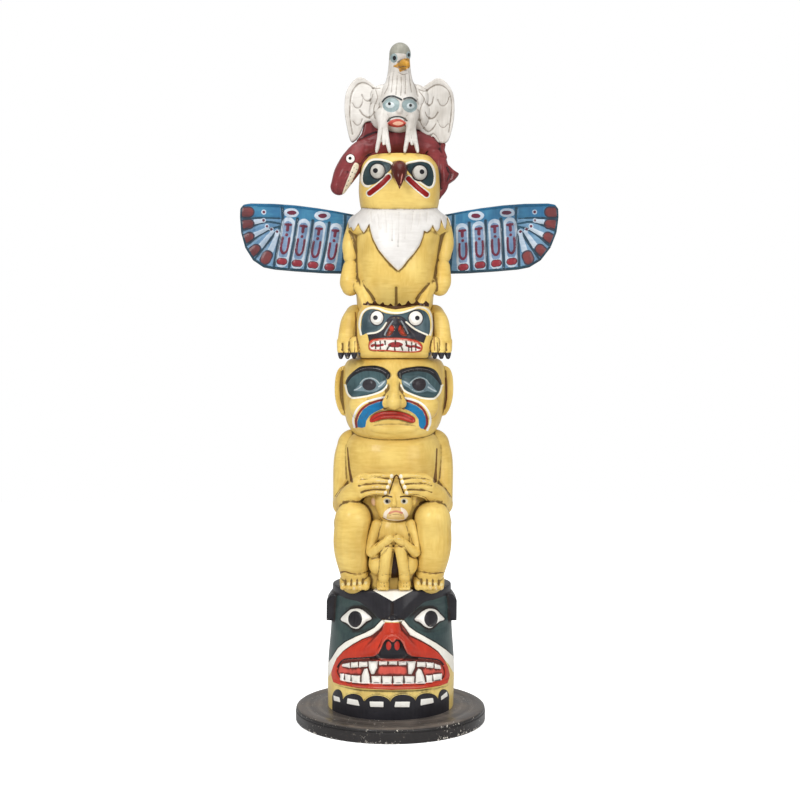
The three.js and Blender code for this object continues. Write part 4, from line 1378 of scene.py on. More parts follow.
def cub():
    forms = [
        column([
            (CROWN - 4, 100, 58, -110), (CROWN + 12, 113, 71, -110), (1220, 117, 79, -110),
            (1270, 115, 77, -106), (1296, 104, 61, -98),
        ], square=3.4),
        ball((0, -150, 1196), (84, 52, 56)),
        limb([(0, -172, 1258, 12), (0, -182, 1228, 22)]),
    ]
    for side in SIDES:
        forms += [
            ball((side * 60, -124, 1270), (55, 57, 31)),
            limb([(124, -10, 1276, 34), (140, -62, 1248, 30), (146, -100, 1190, 31)], side),
        ]
        for i in range(3):
            across, depth = side * (122 + 21 * i), -150 + 16 * i
            forms += [
                limb([(across, depth + 16, 1190, 15), (across, depth - 6, 1164, 13)]),
                limb([
                    (across, depth - 12, 1155, 10.5), (across, depth - 22, 1148, 9.5),
                    (across, depth - 27, 1141, 7),
                ]),
            ]
    skin = Skin(cast("cub", forms, 2.4, 4), back=-60)
    mask = skin.region([
        (-105, 1215), (-107, 1246), (-103, 1274), (-92, 1290), (-76, 1296), (-57, 1294),
        (-35, 1285), (-12, 1280), (13, 1280), (38, 1286), (60, 1294), (79, 1296), (97, 1288),
        (108, 1273), (113, 1246), (107, 1214), (74, 1228), (55, 1241), (39, 1255), (23, 1266),
        (4, 1269), (-15, 1266), (-28, 1254), (-41, 1236), (-59, 1223), (-86, 1220),
    ])
    muzzle = skin.region([
        (-87, 1217), (-59, 1220), (-40, 1233), (-26, 1252), (-15, 1265), (4, 1269), (23, 1265),
        (37, 1254), (55, 1238), (74, 1225), (101, 1212), (93, 1188), (71, 1196), (42, 1201),
        (4, 1203), (-34, 1203), (-66, 1200), (-81, 1190),
    ], rounded=False)
    rim = union(
        skin.line([
            (-107, 1215), (-113, 1246), (-107, 1277), (-94, 1294), (-75, 1301), (-54, 1299),
            (-28, 1289), (-3, 1284), (22, 1285), (51, 1294), (76, 1302), (101, 1296), (115, 1276),
            (120, 1242), (113, 1214),
        ], 3.2),
        skin.lines(
            2.7,
            [(-86, 1218), (-59, 1222), (-40, 1234), (-27, 1253)],
            [(36, 1255), (55, 1239), (74, 1227), (104, 1214)],
        ),
    )
    eyes = skin.discs(((-57, 1268), 19.7, 21.6), ((66, 1267), 21.6, 22.2))
    pupils = skin.discs(((-62, 1269), 7.6), ((71, 1268), 7.6))
    nostrils = skin.regions(
        [(-10, 1246), (-2, 1236), (-4, 1227), (-13, 1215), (-26, 1211), (-21, 1227), (-17, 1239)],
        [(18, 1246), (26, 1236), (31, 1223), (39, 1212), (26, 1212), (15, 1220), (11, 1234)],
    )
    nose_lines = skin.lines(
        2.2,
        [(-7, 1258), (-18, 1242), (-28, 1225), (-32, 1214)], [(21, 1258), (32, 1239), (42, 1220)],
    )
    lips = skin.region([
        (-80, 1167), (-83, 1182), (-79, 1194), (-66, 1201), (-34, 1204), (4, 1205), (42, 1203),
        (71, 1196), (86, 1184), (89, 1173), (83, 1161), (62, 1158), (17, 1159), (-33, 1162),
        (-68, 1163),
    ])
    teeth = skin.region([
        (-76, 1171), (-77, 1181), (-72, 1188), (-62, 1194), (-34, 1197), (4, 1198), (39, 1195),
        (65, 1189), (80, 1180), (83, 1172), (78, 1165), (59, 1162), (17, 1163), (-33, 1167),
        (-65, 1168),
    ])
    gums = union(
        skin.lines(
            4.1,
            [(-72, 1179), (-64, 1182), (-53, 1180), (-38, 1183)],
            [(38, 1181), (49, 1177), (62, 1178), (79, 1172)],
        ),
        skin.region(
            [(-22, 1182), (-11, 1190), (4, 1192), (17, 1190), (27, 1183), (14, 1175), (-10, 1175)]
        ),
    )
    gaps = union(
        skin.lines(1.5, [(-61, 1192), (-60, 1170)], [(-46, 1194), (-45, 1169)]),
        skin.lines(
            1.7,
            [(-31, 1195), (-30, 1184)], [(-24, 1166), (-20, 1175), (-13, 1181)],
            [(2, 1195), (2, 1185)], [(0, 1175), (1, 1165)], [(25, 1166), (22, 1175), (17, 1181)],
            [(36, 1194), (38, 1182)],
        ),
        skin.line([(45, 1176), (46, 1163)], 1.6),
        skin.lines(1.4, [(54, 1190), (54, 1164)], [(67, 1185), (67, 1165)]),
    )
    fringe = skin.region(FRINGE, rounded=False)
    bridge = skin.line(
        [(-32, 1246), (-22, 1261), (-12, 1270), (4, 1272), (19, 1270), (31, 1262), (41, 1249)],
        3.5,
    )
    # Lines between the fingers, cut in and painted brown as painted shade.
    fingers = union(
        skin.lines(
            1.3,
            [(-145, 1190), (-147, 1173), (-146, 1154)],
            [(-126, 1194), (-126, 1174), (-127, 1154)], [(115, 1194), (114, 1174), (116, 1154)],
            [(135, 1190), (137, 1173), (136, 1154)],
        ),
        skin.lines(1, [(-166, 1185), (-167, 1166)], [(163, 1185), (165, 1166)]),
    )
    claws = np.where(skin.at[:, 2] < 1156, np.abs(skin.at[:, 0]) - 104, -FAR)
    claws = np.minimum(claws, 1155 - skin.at[:, 2])
    # Painted shade in the crease where each arm meets the head.
    arm_line = skin.lines(
        2.5,
        [(-125, 1287), (-123, 1246), (-120, 1204), (-116, 1166)],
        [(122, 1287), (124, 1246), (125, 1204), (127, 1166)],
    )
    depth = 7 * pillow(eyes, 18) * raised(eyes, 3.5) + 1.5 * raised(pupils, 3)
    depth -= 4.5 * raised(without(mask, eyes - 3), 5)
    depth += 1.8 * raised(rim, 3.5)
    depth -= 4 * raised(nostrils, 4) - 2 * ridge(nose_lines, 3)
    depth += 6 * pillow(lips, 8) * raised(lips, 3.5) - 4.5 * raised(teeth, 3.5)
    depth += 3.4 * pillow(without(teeth, gums + 1, gaps + 1), 6) - 1.5 * ridge(gaps, 2)
    depth += 3 * ridge(fringe, 6) - 2 * ridge(fingers, 3)
    skin.carve(depth)
    skin.clean = mask
    skin.coat(
        stain=arm_line,
        mask=mask,
        black=union(bridge, muzzle, claws, outlined(eyes, 2, 1.6)),
        # browns holds the fringe and the painted shade between the fingers.
        browns=union(fringe, fingers - 0.2),
        rim=rim,
        whites=union(eyes, teeth),
        red=union(nostrils, without(lips, teeth)),
        gums=gums,
        greys=nose_lines,
        pupils=union(pupils, gaps),
    )
    return skin, painted(
        "cub paint",
        YELLOW,
        [
            ("stain", "a87f3e", "8a6430"),
            ("mask", "50646a", "2b3b41"),
            ("black", "333037", "222126"),
            ("browns", "50321f", "352014"),
            ("rim", "f1ecdd", "d9d2c0"),
            ("whites", "f6f2ea", "e4dfd6"),
            ("red", "c6432f", "a83225"),
            ("gums", "a4363a", "84282c"),
            ("greys", "8a8f92", "6a7074"),
            ("pupils", "26242a", "1c1b20"),
        ],
    )


# ---- The thunderbird --------------------------------------------------------------------------


def thunderbird():
    forms = [
        column([
            (CROWN - 10, 120, 120, 10), (1220, 118, 112, 20), (WAIST, 121, 128, 4),
            (1370, 126, 146, -4), (1450, 130, 152, -6), (1520, 138, 150, -4), (1570, 146, 140, 0),
            (NECK + 12, 122, 118, 0),
        ], square=2.4),
        column([
            (1520, 140, 146, -4), (1540, 164, 147, -2), (1562, 164, 141, 0), (1590, 145, 128, 0),
            (NECK + 8, 122, 116, 0),
        ], square=2.2),
    ]
    for side in SIDES:
        forms += [
            limb([(128, -22, 1560, 36), (142, -34, 1500, 34), (143, -40, 1462, 27)], side),
            limb([(142, -44, 1424, 27), (144, -52, 1380, 31), (140, -52, 1362, 28)], side),
            limb([(112, -62, 1372, 22), (94, -96, 1334, 22), (84, -108, 1300, 20)], side),
        ]
    skin = Skin(cast("thunderbird", forms, 3.2, 5), back=-8)
    behind = skin.at[:, 1] > skin.back
    hem = [
        (-179, 1560), (-176, 1573), (-168, 1588), (-164, 1582), (-158, 1552), (-152, 1558),
        (-145, 1544), (-140, 1550), (-130, 1569), (-121, 1550), (-111, 1539), (-104, 1550),
        (-95, 1568), (-89, 1544), (-80, 1519), (-60, 1485), (-39, 1461), (-19, 1441), (-2, 1425),
        (7, 1419), (17, 1427), (34, 1452), (52, 1473), (69, 1500), (77, 1528), (79, 1546),
        (90, 1541), (99, 1549), (107, 1563), (115, 1547), (122, 1542), (129, 1554), (132, 1584),
        (142, 1557), (147, 1549), (150, 1566), (151, 1592), (159, 1573), (164, 1560),
    ]
    ruff = skin.region(
        [(-186, 1674), (-185, 1560)] + hem + [(170, 1560), (170, 1674)], rounded=False
    )
    turn = np.arctan2(skin.at[:, 0], skin.at[:, 1])
    zigzag = np.abs((turn * 16 / (2 * np.pi)) % 1 - 0.5) * 2
    back_hem = np.clip((skin.at[:, 2] - (1530 + 34 * zigzag)) * 0.8, -FAR, FAR)
    ruff = np.where(behind, back_hem, ruff)
    plumes = skin.lines(
        1.5, ((-46, 1604), (-38, 1541)), ((-24, 1592), (-19, 1515)), ((-2, 1601), (1, 1496)),
        ((20, 1592), (20, 1522)), ((43, 1604), (38, 1547)), ((-69, 1598), (-63, 1554)),
        ((65, 1598), (59, 1557)), ((-91, 1604), (-87, 1573)), ((87, 1604), (86, 1573)),
    )
    creases = skin.lines(
        2,
        [(-154, 1541), (-141, 1506), (-125, 1465), (-119, 1439), (-117, 1401), (-118, 1357)],
        [(141, 1541), (135, 1506), (127, 1465), (124, 1439), (129, 1401), (132, 1357)],
        [(3, 1363), (4, 1312)],
        [(-119, 1382), (-109, 1347), (-95, 1315)],
        [(-102, 1385), (-87, 1357), (-68, 1328)],
        [(122, 1382), (114, 1347), (101, 1315)],
        [(103, 1376), (88, 1354), (70, 1328)],
    )
    fringe = skin.region(FRINGE, rounded=False)
    depth = 6 * raised(ruff, 5) - 1.2 * ridge(plumes, 4)
    depth -= 4 * ridge(creases, 5)
    skin.carve(depth)
    skin.coat(
        ruff=ruff,
        hem=np.where(behind, -FAR, outlined(ruff, 0.7, 1.2)),
        fringe=fringe,
        plumes=plumes,
    )
    return skin, painted(
        "thunderbird paint",
        YELLOW,
        [
            ("hem", "9a7a45", "7a5c30"),
            ("ruff", "e2dfdb", "cdc9c4"),
            ("plumes", "d9d5d0", "c4bfb8"),
            ("fringe", "4a2d1c", "301c12"),
        ],
        haze=0.14,
    )


def thunderbird_head():
    forms = [
        column([
            (NECK - 6, 108, 122, -8), (NECK + 16, 122, 136, -8), (1660, 128, 141, -8),
            (1695, 127, 141, -8), (1742, 121, 136, -7), (HEAD_TOP + 7, 100, 112, 0),
        ], square=2.7),
        limb([(0, -132, 1726, 22), (0, -168, 1710, 24), (0, -188, 1686, 17), (0, -194, 1660, 6)]),
    ]
    skin = Skin(cast("thunderbird_head", forms, 2.6, 5), back=-20)
    masks = skin.regions(
        [
            (-26, 1754), (-43, 1763), (-69, 1768), (-91, 1765), (-105, 1750), (-115, 1728),
            (-117, 1706), (-111, 1693), (-100, 1689), (-78, 1694), (-59, 1708), (-43, 1725),
            (-29, 1738),
        ],
        [
            (22, 1754), (46, 1761), (71, 1764), (92, 1758), (104, 1742), (109, 1719), (106, 1695),
            (98, 1686), (87, 1687), (65, 1702), (39, 1719), (25, 1736),
        ],
    )
    rim = outlined(masks, 3.4, 3.4)
    inner = skin.lines(
        5.1, [(-91, 1682), (-56, 1704), (-24, 1734)], [(84, 1677), (49, 1701), (20, 1734)]
    )
    eyes = skin.discs(((-70, 1734), 22.2, 22.9), ((64, 1729), 22.9, 23.2))
    pupils = skin.discs(((-77, 1736), 7.9), ((71, 1732), 7.9))
    bars = skin.lines(
        7.9, [(-36, 1716), (-59, 1692), (-95, 1664)], [(28, 1710), (52, 1687), (85, 1660)]
    )
    beak = skin.region([
        (-27, 1738), (-25, 1752), (-18, 1763), (-8, 1767), (3, 1767), (12, 1762), (19, 1750),
        (24, 1736), (19, 1722), (12, 1703), (4, 1687), (0, 1676), (-5, 1687), (-14, 1706),
        (-22, 1722),
    ])
    beak = union(beak, np.clip(-160 - skin.at[:, 1], -FAR, 6))
    depth = 6 * pillow(eyes, 20) * raised(eyes, 3.5) + 1.3 * raised(pupils, 3)
    depth -= 5.5 * raised(without(masks, eyes - 2), 6)
    depth += 1.4 * raised(rim, 3.5) + 3 * pillow(bars + 4, 12) + 2 * raised(beak, 4)
    skin.carve(depth)
    skin.clean = masks
    skin.coat(
        rim=without(rim, inner),
        masks=masks,
        bar_rims=bars + 4.1,
        ring=union(outlined(eyes, 2.6, 2.2), outlined(bars, 0.6, 0.3)),
        bars=bars,
        eyes=eyes,
        pupils=pupils,
        beak=beak,
        gleam=np.minimum(skin.line([(8, 1725), (7, 1719), (3, 1696)], 1.7), beak),
    )
    return skin, painted(
        "thunderbird head paint",
        YELLOW,
        [
            ("masks", "2c4348", "1b2c30"),
            ("rim", "efe9dd", "d4cdbf"),
            ("bar_rims", "efe9dd", "d4cdbf"),
            ("ring", "22282b", "181c1f"),
            ("bars", "930d10", "700609"),
            ("eyes", "ccc8c0", "aca89f"),
            ("pupils", "1d1c20", "151418"),
            ("beak", "601f17", "3c120e"),
            ("gleam", "c98a76", "a8645a"),
        ],
        chipped=0.35,
    )


# ---- The wings --------------------------------------------------------------------------------


def step(start, way, along, across=0):
    """A point at distances along and across a feather, from its upper end."""
    return (
        start[0] + way[0] * along - way[1] * across,
        start[1] + way[1] * along + way[0] * across,
    )


def tab_feather(skin, top, bottom):
    """The masks of one of the long feathers: its frame, fill, maroon signs and red end."""
    reach = np.subtract(bottom, top)
    length = float(np.hypot(*reach))
    way = reach / length

    def at(share, across=0):
        return step(top, way, share * length, across)

    frame = skin.line([at(0.06), at(0.87)], 20.5, rounded=False)
    fill = skin.line([at(0.1), at(0.72)], 14, rounded=False)
    letter = union(
        skin.line([at(0.08, -9), at(0.08, 9)], 4, rounded=False),
        skin.line([at(0.08), at(0.2)], 5, rounded=False),
    )
    dot = skin.disc(at(0.3), 5)
    loop = [
        (0.37, -10.5), (0.5, -11), (0.62, -10), (0.685, -5), (0.7, 0), (0.685, 5), (0.62, 10),
        (0.5, 11), (0.37, 10.5),
    ]
    loop = skin.line([at(*spot) for spot in loop], 4)
    end = skin.line([at(0.88, -6), at(0.88, 6)], 9.5, rounded=False)
    return frame, fill, union(letter, dot, loop), end


def wing(side, name):
    outline = [
        (96, 1440), (96, 1570), (138, 1570), (138, 1596), (200, 1608), (260, 1618), (330, 1627),
        (400, 1632), (474, 1633), (496, 1629), (506, 1616), (507, 1590), (502, 1540), (486, 1492),
        (458, 1452), (424, 1430), (388, 1423), (320, 1417), (230, 1411), (138, 1409), (138, 1440),
    ]
    skin = Skin(cast(name, [slab(outline, 4.5, 29.5, side=side)], 2.5, 2), side=side)
    rim = outlined(skin.region(outline, rounded=False), 6, -1.5)
    top_edge = skin.line([(509, 1629), (427, 1627), (338, 1623), (255, 1614), (163, 1603)], 6)
    band = skin.region([
        (503, 1623), (338, 1620), (179, 1604), (179, 1566), (275, 1574), (363, 1582), (427, 1587),
        (503, 1588),
    ], rounded=False)
    # Painted shade down the wing's root, where it meets the body.
    root = skin.line([(171, 1598), (171, 1420)], 4.4)
    ovals = skin.discs(((343, 1602), 24.1, 14.3), ((244, 1593), 25.4, 15.2))
    oval_cores = skin.discs(((341, 1602), 15.2, 6.7), ((243, 1592), 14.6, 7.3))
    quill_ends = [
        ((351, 1576), (367, 1430)), ((302, 1571), (318, 1424)), ((252, 1563), (267, 1419)),
        ((200, 1557), (214, 1412)),
    ]
    feathers = [tab_feather(skin, top, bottom) for top, bottom in quill_ends]
    frames, fills, signs, ends = [union(*masks) for masks in zip(*feathers)]
    parts = union(
        skin.lines(
            2.9,
            [(371, 1620), (371, 1579), (381, 1500), (390, 1427)],
            [(323, 1582), (330, 1515), (341, 1427)], [(274, 1576), (280, 1500), (290, 1420)],
            [(222, 1569), (228, 1500), (240, 1417)],
        ),
        skin.lines(
            2.7,
            [(373, 1566), (427, 1573), (494, 1546)], [(376, 1560), (427, 1541), (484, 1495)],
            [(379, 1554), (414, 1506), (452, 1454)],
        ),
        skin.line([(379, 1584), (427, 1585), (503, 1584)], 2.2),
    )
    tips = union(
        skin.lines(14, [(492, 1604), (478, 1604)], [(418, 1454), (413, 1465)]),
        skin.lines(12.7, [(491, 1565), (476, 1566)], [(463, 1476), (451, 1487)]),
        skin.line([(485, 1519), (473, 1526)], 12.1),
    )
    quills = skin.regions(
        [(462, 1581), (427, 1583), (427, 1573), (462, 1564)],
        [(463, 1538), (417, 1557), (411, 1550), (459, 1522)],
        [(443, 1501), (403, 1548), (395, 1542), (430, 1488)],
        [(413, 1481), (390, 1541), (378, 1539), (394, 1476)],
        rounded=False,
    )
    beads = [(430, 1604), (431, 1578), (419, 1559), (405, 1549), (386, 1542)]
    spot_rings = skin.discs(*[(bead, 7.6) for bead in beads])
    spots = skin.discs(*[(bead, 4.3) for bead in beads])
    depth = 2.2 * pillow(frames, 16) - 2.6 * ridge(parts, 3.5) + 1.6 * pillow(ovals, 8)
    depth += 1.4 * raised(signs, 3) + 1.2 * pillow(ends, 8) + 1.4 * pillow(tips, 10)
    depth += 1.2 * raised(quills, 4) + 1.2 * raised(top_edge, 4)
    skin.carve(depth)
    skin.coat(
        band=band,
        # parts also holds the painted shade at the root.
        parts=union(parts, root),
        frames=union(frames, ovals, ends + 5, spot_rings, quills),
        fills=without(fills, ends + 4),
        tip_shade=tips + 4.5,
        tips=tips,
        signs=union(signs, oval_cores, spots),
        end_rims=ends + 2,
        ends=ends,
        rim=rim,
        top_edge=top_edge,
    )
    return skin, painted(
        name + " paint",
        ("7799b2", "456e90"),
        [
            ("band", "43809f", "2f6188"),
            ("parts", "2c5062", "203846"),
            ("frames", "c6cfd8", "92a5b8"),
            ("fills", "8095b2", "56718f"),
            ("tip_shade", "4c3f4a", "342f3a"),
            ("tips", "80403f", "5a3234"),
            ("signs", "702c40", "4e2534"),
            ("end_rims", "3c3542", "2c2934"),
            ("ends", "9a343c", "722a34"),
            ("rim", "2a4a5a", "1f3541"),
            ("top_edge", "1f6288", "184a69"),
        ],
        wash="26323c",
        bare="c9d4da",
        waver=3.2,
        haze=0.34,
        # The pale chips are also painted highlight along the raised frames' edges.
        chipped=0.85,
    )


# ---- The whale and the eagle ------------------------------------------------------------------


def whale():
    forms = [
        limb([
            (-189, -64, 1675, 27), (-173, -62, 1709, 35), (-157, -54, 1737, 38),
            (-140, -42, 1761, 40), (-105, -24, 1792, 42), (0, -14, 1822, 47), (84, -6, 1806, 45),
            (101, -6, 1786, 35), (121, -8, 1749, 34), (130, -8, 1692, 27), (118, -10, 1655, 16),
        ]),
        slab([
            (-136, 1827), (-120, 1848), (-116, 1862), (-111, 1885), (-78, 1886), (-64, 1861),
            (-53, 1817), (-94, 1788),
        ], -26, 34, edge=7),
        slab([
            (78, 1782), (86, 1822), (105, 1837), (114, 1821), (127, 1825), (147, 1817),
            (143, 1798), (152, 1774), (128, 1760),
        ], -26, 16, edge=4),
        slab([
            (144, 1754), (157, 1749), (171, 1735), (190, 1723), (177, 1707), (159, 1694),
            (141, 1690), (131, 1731),
        ], -26, 14, edge=4),
    ]
    skin = Skin(cast("orca", forms, 2.6, 5))
    eye = skin.disc((-156, 1774), 13.3)
    pupil = skin.disc((-157, 1775), 5.4)
    teeth = skin.region([
        (-140, 1761), (-130, 1755), (-131, 1742), (-142, 1719), (-156, 1688), (-169, 1656),
        (-182, 1658), (-171, 1693), (-159, 1723), (-149, 1750),
    ])
    gaps = [
        (-144, 1744), (-135, 1739), (-150, 1730), (-141, 1725), (-156, 1717), (-147, 1711),
        (-162, 1703), (-154, 1696), (-167, 1688), (-160, 1682), (-171, 1674), (-166, 1669),
    ]
    gaps = skin.discs(*[(gap, 2) for gap in gaps])
    folds = union(
        skin.lines(
            2,
            [(-167, 1731), (-181, 1706), (-192, 1674)], [(-119, 1833), (-91, 1823), (-75, 1839)],
            [(135, 1776), (131, 1731), (133, 1681)], [(151, 1744), (163, 1725), (154, 1700)],
        ),
        skin.line([(-75, 1801), (-107, 1785), (-126, 1760)], 2.5),
    )
    depth = 3 * pillow(eye, 10) + 2.6 * raised(teeth, 4)
    depth -= 3 * ridge(folds, 5) + 1.6 * raised(gaps, 3)
    skin.carve(depth)
    skin.coat(eye=eye, ring=outlined(eye, 1.4, 1), pupil=pupil, teeth=teeth, gaps=gaps)
    return skin, painted(
        "whale paint",
        ("8a3c3e", "612628"),
        [
            ("ring", "3c1c1e", "2c1416"),
            ("teeth", "e7ddc8", "cfc3aa"),
            ("gaps", "8f9289", "74776f"),
            ("eye", "efe9e2", "d8d2ca"),
            ("pupil", "1c1a1c", "141315"),
        ],
        wash="1f1014",
        bare="a8625c",
        haze=0.4,
        wash_and_shade_amount=0.95,
        roughness=0.3,
    )


def eagle():
    forms = [
        ball((-2, -40, 1930), (63, 52, 88)),
        ball((-4, -48, 1890), (58, 36, 36)),
        limb([(0, -28, 1968, 60), (0, -29, 2004, 46), (0, -30, 2040, 37), (0, -34, 2092, 32)]),
        ball((2, -42, 2094), (34, 40, 36)),
        limb([(0, -28, 2122, 9), (-9, -18, 2131, 3)]),
        limb([(14, -68, 2056, 15), (22, -88, 2050, 11), (24, -97, 2034, 4)]),
        limb([(0, -82, 1936, 6), (0, -90, 1906, 9)]),
    ]
    wings = {
        -1: [
            (34, 1998), (70, 1995), (98, 2014), (122, 2026), (146, 2014), (168, 1978),
            (173, 1930), (168, 1880), (154, 1826), (138, 1828), (124, 1848), (114, 1872),
            (104, 1884), (78, 1888), (60, 1884), (44, 1880),
        ],
        1: [
            (34, 1998), (70, 1994), (97, 2011), (122, 2023), (146, 2011), (168, 1978),
            (174, 1930), (170, 1880), (158, 1834), (146, 1820), (132, 1818), (120, 1822),
            (106, 1838), (97, 1826), (85, 1822), (76, 1838), (66, 1856), (44, 1880),
        ],
    }
    for side in SIDES:
        forms += [
            slab(wings[side], -33, -7, rounded=True, side=side),
            ball((side * 54, -32, 1958), (36, 26, 44)),
            ball((side * 60, -30, 1912), (34, 26, 52)),
        ]
        hip = -51 if side < 0 else 36
        forms.append(limb([(hip, -56, 1900, 25), (hip, -78, 1868, 18), (hip, -84, 1846, 14)]))
        for toe in SIDES:
            forms.append(
                limb([
                    (hip + toe * 6, -86, 1850, 10), (hip + toe * 13, -100, 1812, 7.5),
                    (hip + toe * 18, -112, 1786, 6.5), (hip + toe * 20, -120, 1774, 4.5),
                ]),
            )
        forms.append(
            limb([(hip, -88, 1846, 9), (hip + 2, -104, 1812, 6.5), (hip + 2, -110, 1800, 5)])
        )
    skin = Skin(cast("white_eagle", forms, 2.1, 3))
    crown = skin.region([
        (-40, 2087), (-37, 2119), (-21, 2138), (8, 2144), (33, 2125), (39, 2093), (30, 2100),
        (17, 2106), (-2, 2108), (-21, 2106), (-30, 2087),
    ])
    sockets = skin.discs(((-18, 2093), 11.4, 14.6), ((29, 2102), 7.6, 12.7))
    eyes = skin.discs(((-16, 2093), 5.4, 7.6), ((30, 2103), 4.1, 6.3))
    beak = skin.region([
        (-20, 2068), (-11, 2073), (1, 2083), (14, 2091), (28, 2092), (36, 2084), (35, 2068),
        (25, 2058), (11, 2052), (1, 2049), (-4, 2060), (-13, 2063),
    ])
    mouth_line = skin.line([(-16, 2065), (1, 2064), (16, 2067), (30, 2063)], 1.4)
    brows = skin.lines(
        3,
        [(-54, 1954), (-46, 1964), (-34, 1971), (-19, 1972), (-8, 1968), (6, 1961)],
        [(14, 1963), (27, 1967), (41, 1966), (53, 1957)],
    )
    orbits = skin.regions(
        [
            (-54, 1950), (-46, 1962), (-32, 1968), (-18, 1968), (-3, 1958), (0, 1944), (-6, 1929),
            (-22, 1921), (-40, 1924), (-51, 1934),
        ],
        [
            (9, 1952), (20, 1962), (36, 1964), (51, 1955), (57, 1942), (51, 1927), (34, 1920),
            (18, 1926), (9, 1938),
        ],
    )
    orbits = without(orbits, brows + 1)
    whites = skin.discs(((-30, 1944), 14, 9.5), ((35, 1941), 12.7, 9.2))
    pupils = skin.discs(((-32, 1948), 5.1), ((35, 1943), 5.1))
    lip_line = skin.line(
        [(-38, 1892), (-30, 1901), (-18, 1906), (-2, 1907), (12, 1903), (24, 1894)], 2.2
    )
    lips = skin.region([
        (-38, 1884), (-29, 1894), (-16, 1899), (-2, 1900), (12, 1895), (21, 1886), (11, 1876),
        (-5, 1873), (-24, 1875),
    ])
    # A pale spot on the lips, a painted highlight.
    gloss = skin.region([(-22, 1885), (-11, 1891), (1, 1892), (13, 1886), (1, 1880), (-11, 1880)])
    rims = skin.lines(
        1.8,
        [
            (-149, 1852), (-157, 1903), (-157, 1944), (-151, 1982), (-135, 2007), (-116, 2015),
            (-97, 2009), (-81, 1997), (-62, 1997),
        ],
        [
            (157, 1858), (164, 1912), (165, 1954), (157, 1987), (139, 2004), (119, 2008),
            (100, 2000), (82, 1988), (62, 1993),
        ],
    )
    scales = union(
        skin.lines(
            2,
            [(-126, 1928), (-116, 1914), (-100, 1904), (-89, 1909), (-81, 1921)],
            [(82, 1922), (88, 1908), (100, 1901), (112, 1906), (122, 1920)],
            [(65, 1896), (72, 1879), (84, 1865), (95, 1861), (106, 1869), (116, 1884)],
        ),
        skin.lines(
            1.6,
            [(79, 1966), (84, 1950), (93, 1943), (103, 1949), (108, 1968)],
            [(-119, 1976), (-111, 1961), (-100, 1957), (-89, 1963), (-84, 1979)],
            [(122, 1960), (130, 1945), (141, 1942), (152, 1952), (157, 1969)],
            [(-149, 1950), (-140, 1937), (-127, 1936), (-118, 1950), (-116, 1965)],
            [(122, 1893), (130, 1877), (142, 1873), (154, 1884)],
            [(-148, 1893), (-136, 1881), (-124, 1884), (-118, 1898)],
            [(97, 1846), (108, 1853), (120, 1842), (130, 1823)],
        ),
    )
    strokes = union(
        skin.lines(
            1.5,
            [(-19, 2049), (-22, 2023), (-26, 1985)], [(-7, 2039), (-8, 2014), (-11, 1979)],
            [(5, 2033), (6, 2004), (4, 1976)], [(18, 2042), (19, 2011), (18, 1979)],
            [(30, 2052), (33, 2020), (38, 1985)], [(-32, 2036), (-36, 2004), (-48, 1979)],
            [(43, 2017), (52, 1995), (60, 1973)], [(-1, 2046), (11, 2041), (25, 2044)],
        ),
        skin.lines(
            1.3, [(-53, 1871), (-57, 1839), (-62, 1814)], [(36, 1865), (38, 1839), (46, 1814)]
        ),
    )
    shoulder_lines = skin.lines(
        1.8,
        [(-75, 1992), (-70, 1966), (-81, 1934), (-79, 1903)],
        [(62, 1988), (78, 1963), (67, 1934), (64, 1896)],
    )
    depth = 3 * pillow(brows + 2, 6) - 4 * raised(orbits, 5) + 3.4 * pillow(whites, 7)
    depth += 3.6 * pillow(lips, 6) - 1.5 * ridge(lip_line, 2.5) + 1.5 * raised(pupils, 3)
    depth += 1.4 * raised(beak, 3) - 1.4 * ridge(mouth_line, 2.2) - 1.6 * raised(sockets, 4)
    depth -= 1.8 * ridge(rims, 2.6) + 1.7 * ridge(scales, 2.6) + 1.4 * ridge(strokes, 2.4)
    depth -= 2 * ridge(shoulder_lines, 4)
    front = skin.at[:, 1] < -34
    for mask in (brows, orbits, whites, pupils, lips, lip_line, gloss, crown, sockets, eyes, beak):
        mask[~front] = -FAR
    skin.carve(depth)
    skin.clean = orbits
    crown = union(
        crown, np.where(skin.at[:, 1] > -40, np.clip(skin.at[:, 2] - 2092, -FAR, FAR), -FAR)
    )
    skin.coat(
        crown=crown,
        sockets=union(sockets, orbits),
        greys=union(scales, rims, strokes, shoulder_lines) - 0.5,
        brows=union(brows, lip_line, mouth_line - 0.5),
        beak=beak,
        whites=whites,
        lips=lips,
        # gloss is the painted highlight on the lips.
        gloss=gloss,
        eyes=union(eyes, pupils),
    )
    return skin, painted(
        "eagle paint",
        ("dad6d0", "bcb6ae"),
        [
            ("crown", "a09f93", "7d7e73"),
            ("greys", "9f968c", "776d62"),
            ("sockets", "a3b3b3", "7a8e91"),
            ("beak", "c7932f", "a8772a"),
            ("whites", "dce2e2", "b9c5c8"),
            ("lips", "c8564a", "ab4238"),
            ("gloss", "efc4a8", "e0a58c"),
            ("brows", "3d4143", "2d3133"),
            ("eyes", "26272a", "1c1d20"),
        ],
        wash="6e665c",
        bare="f3efe8",
        chipped=0.2,
        wash_and_shade_amount=0.9,
        haze=0.34,
    )


# ---- The base ---------------------------------------------------------------------------------


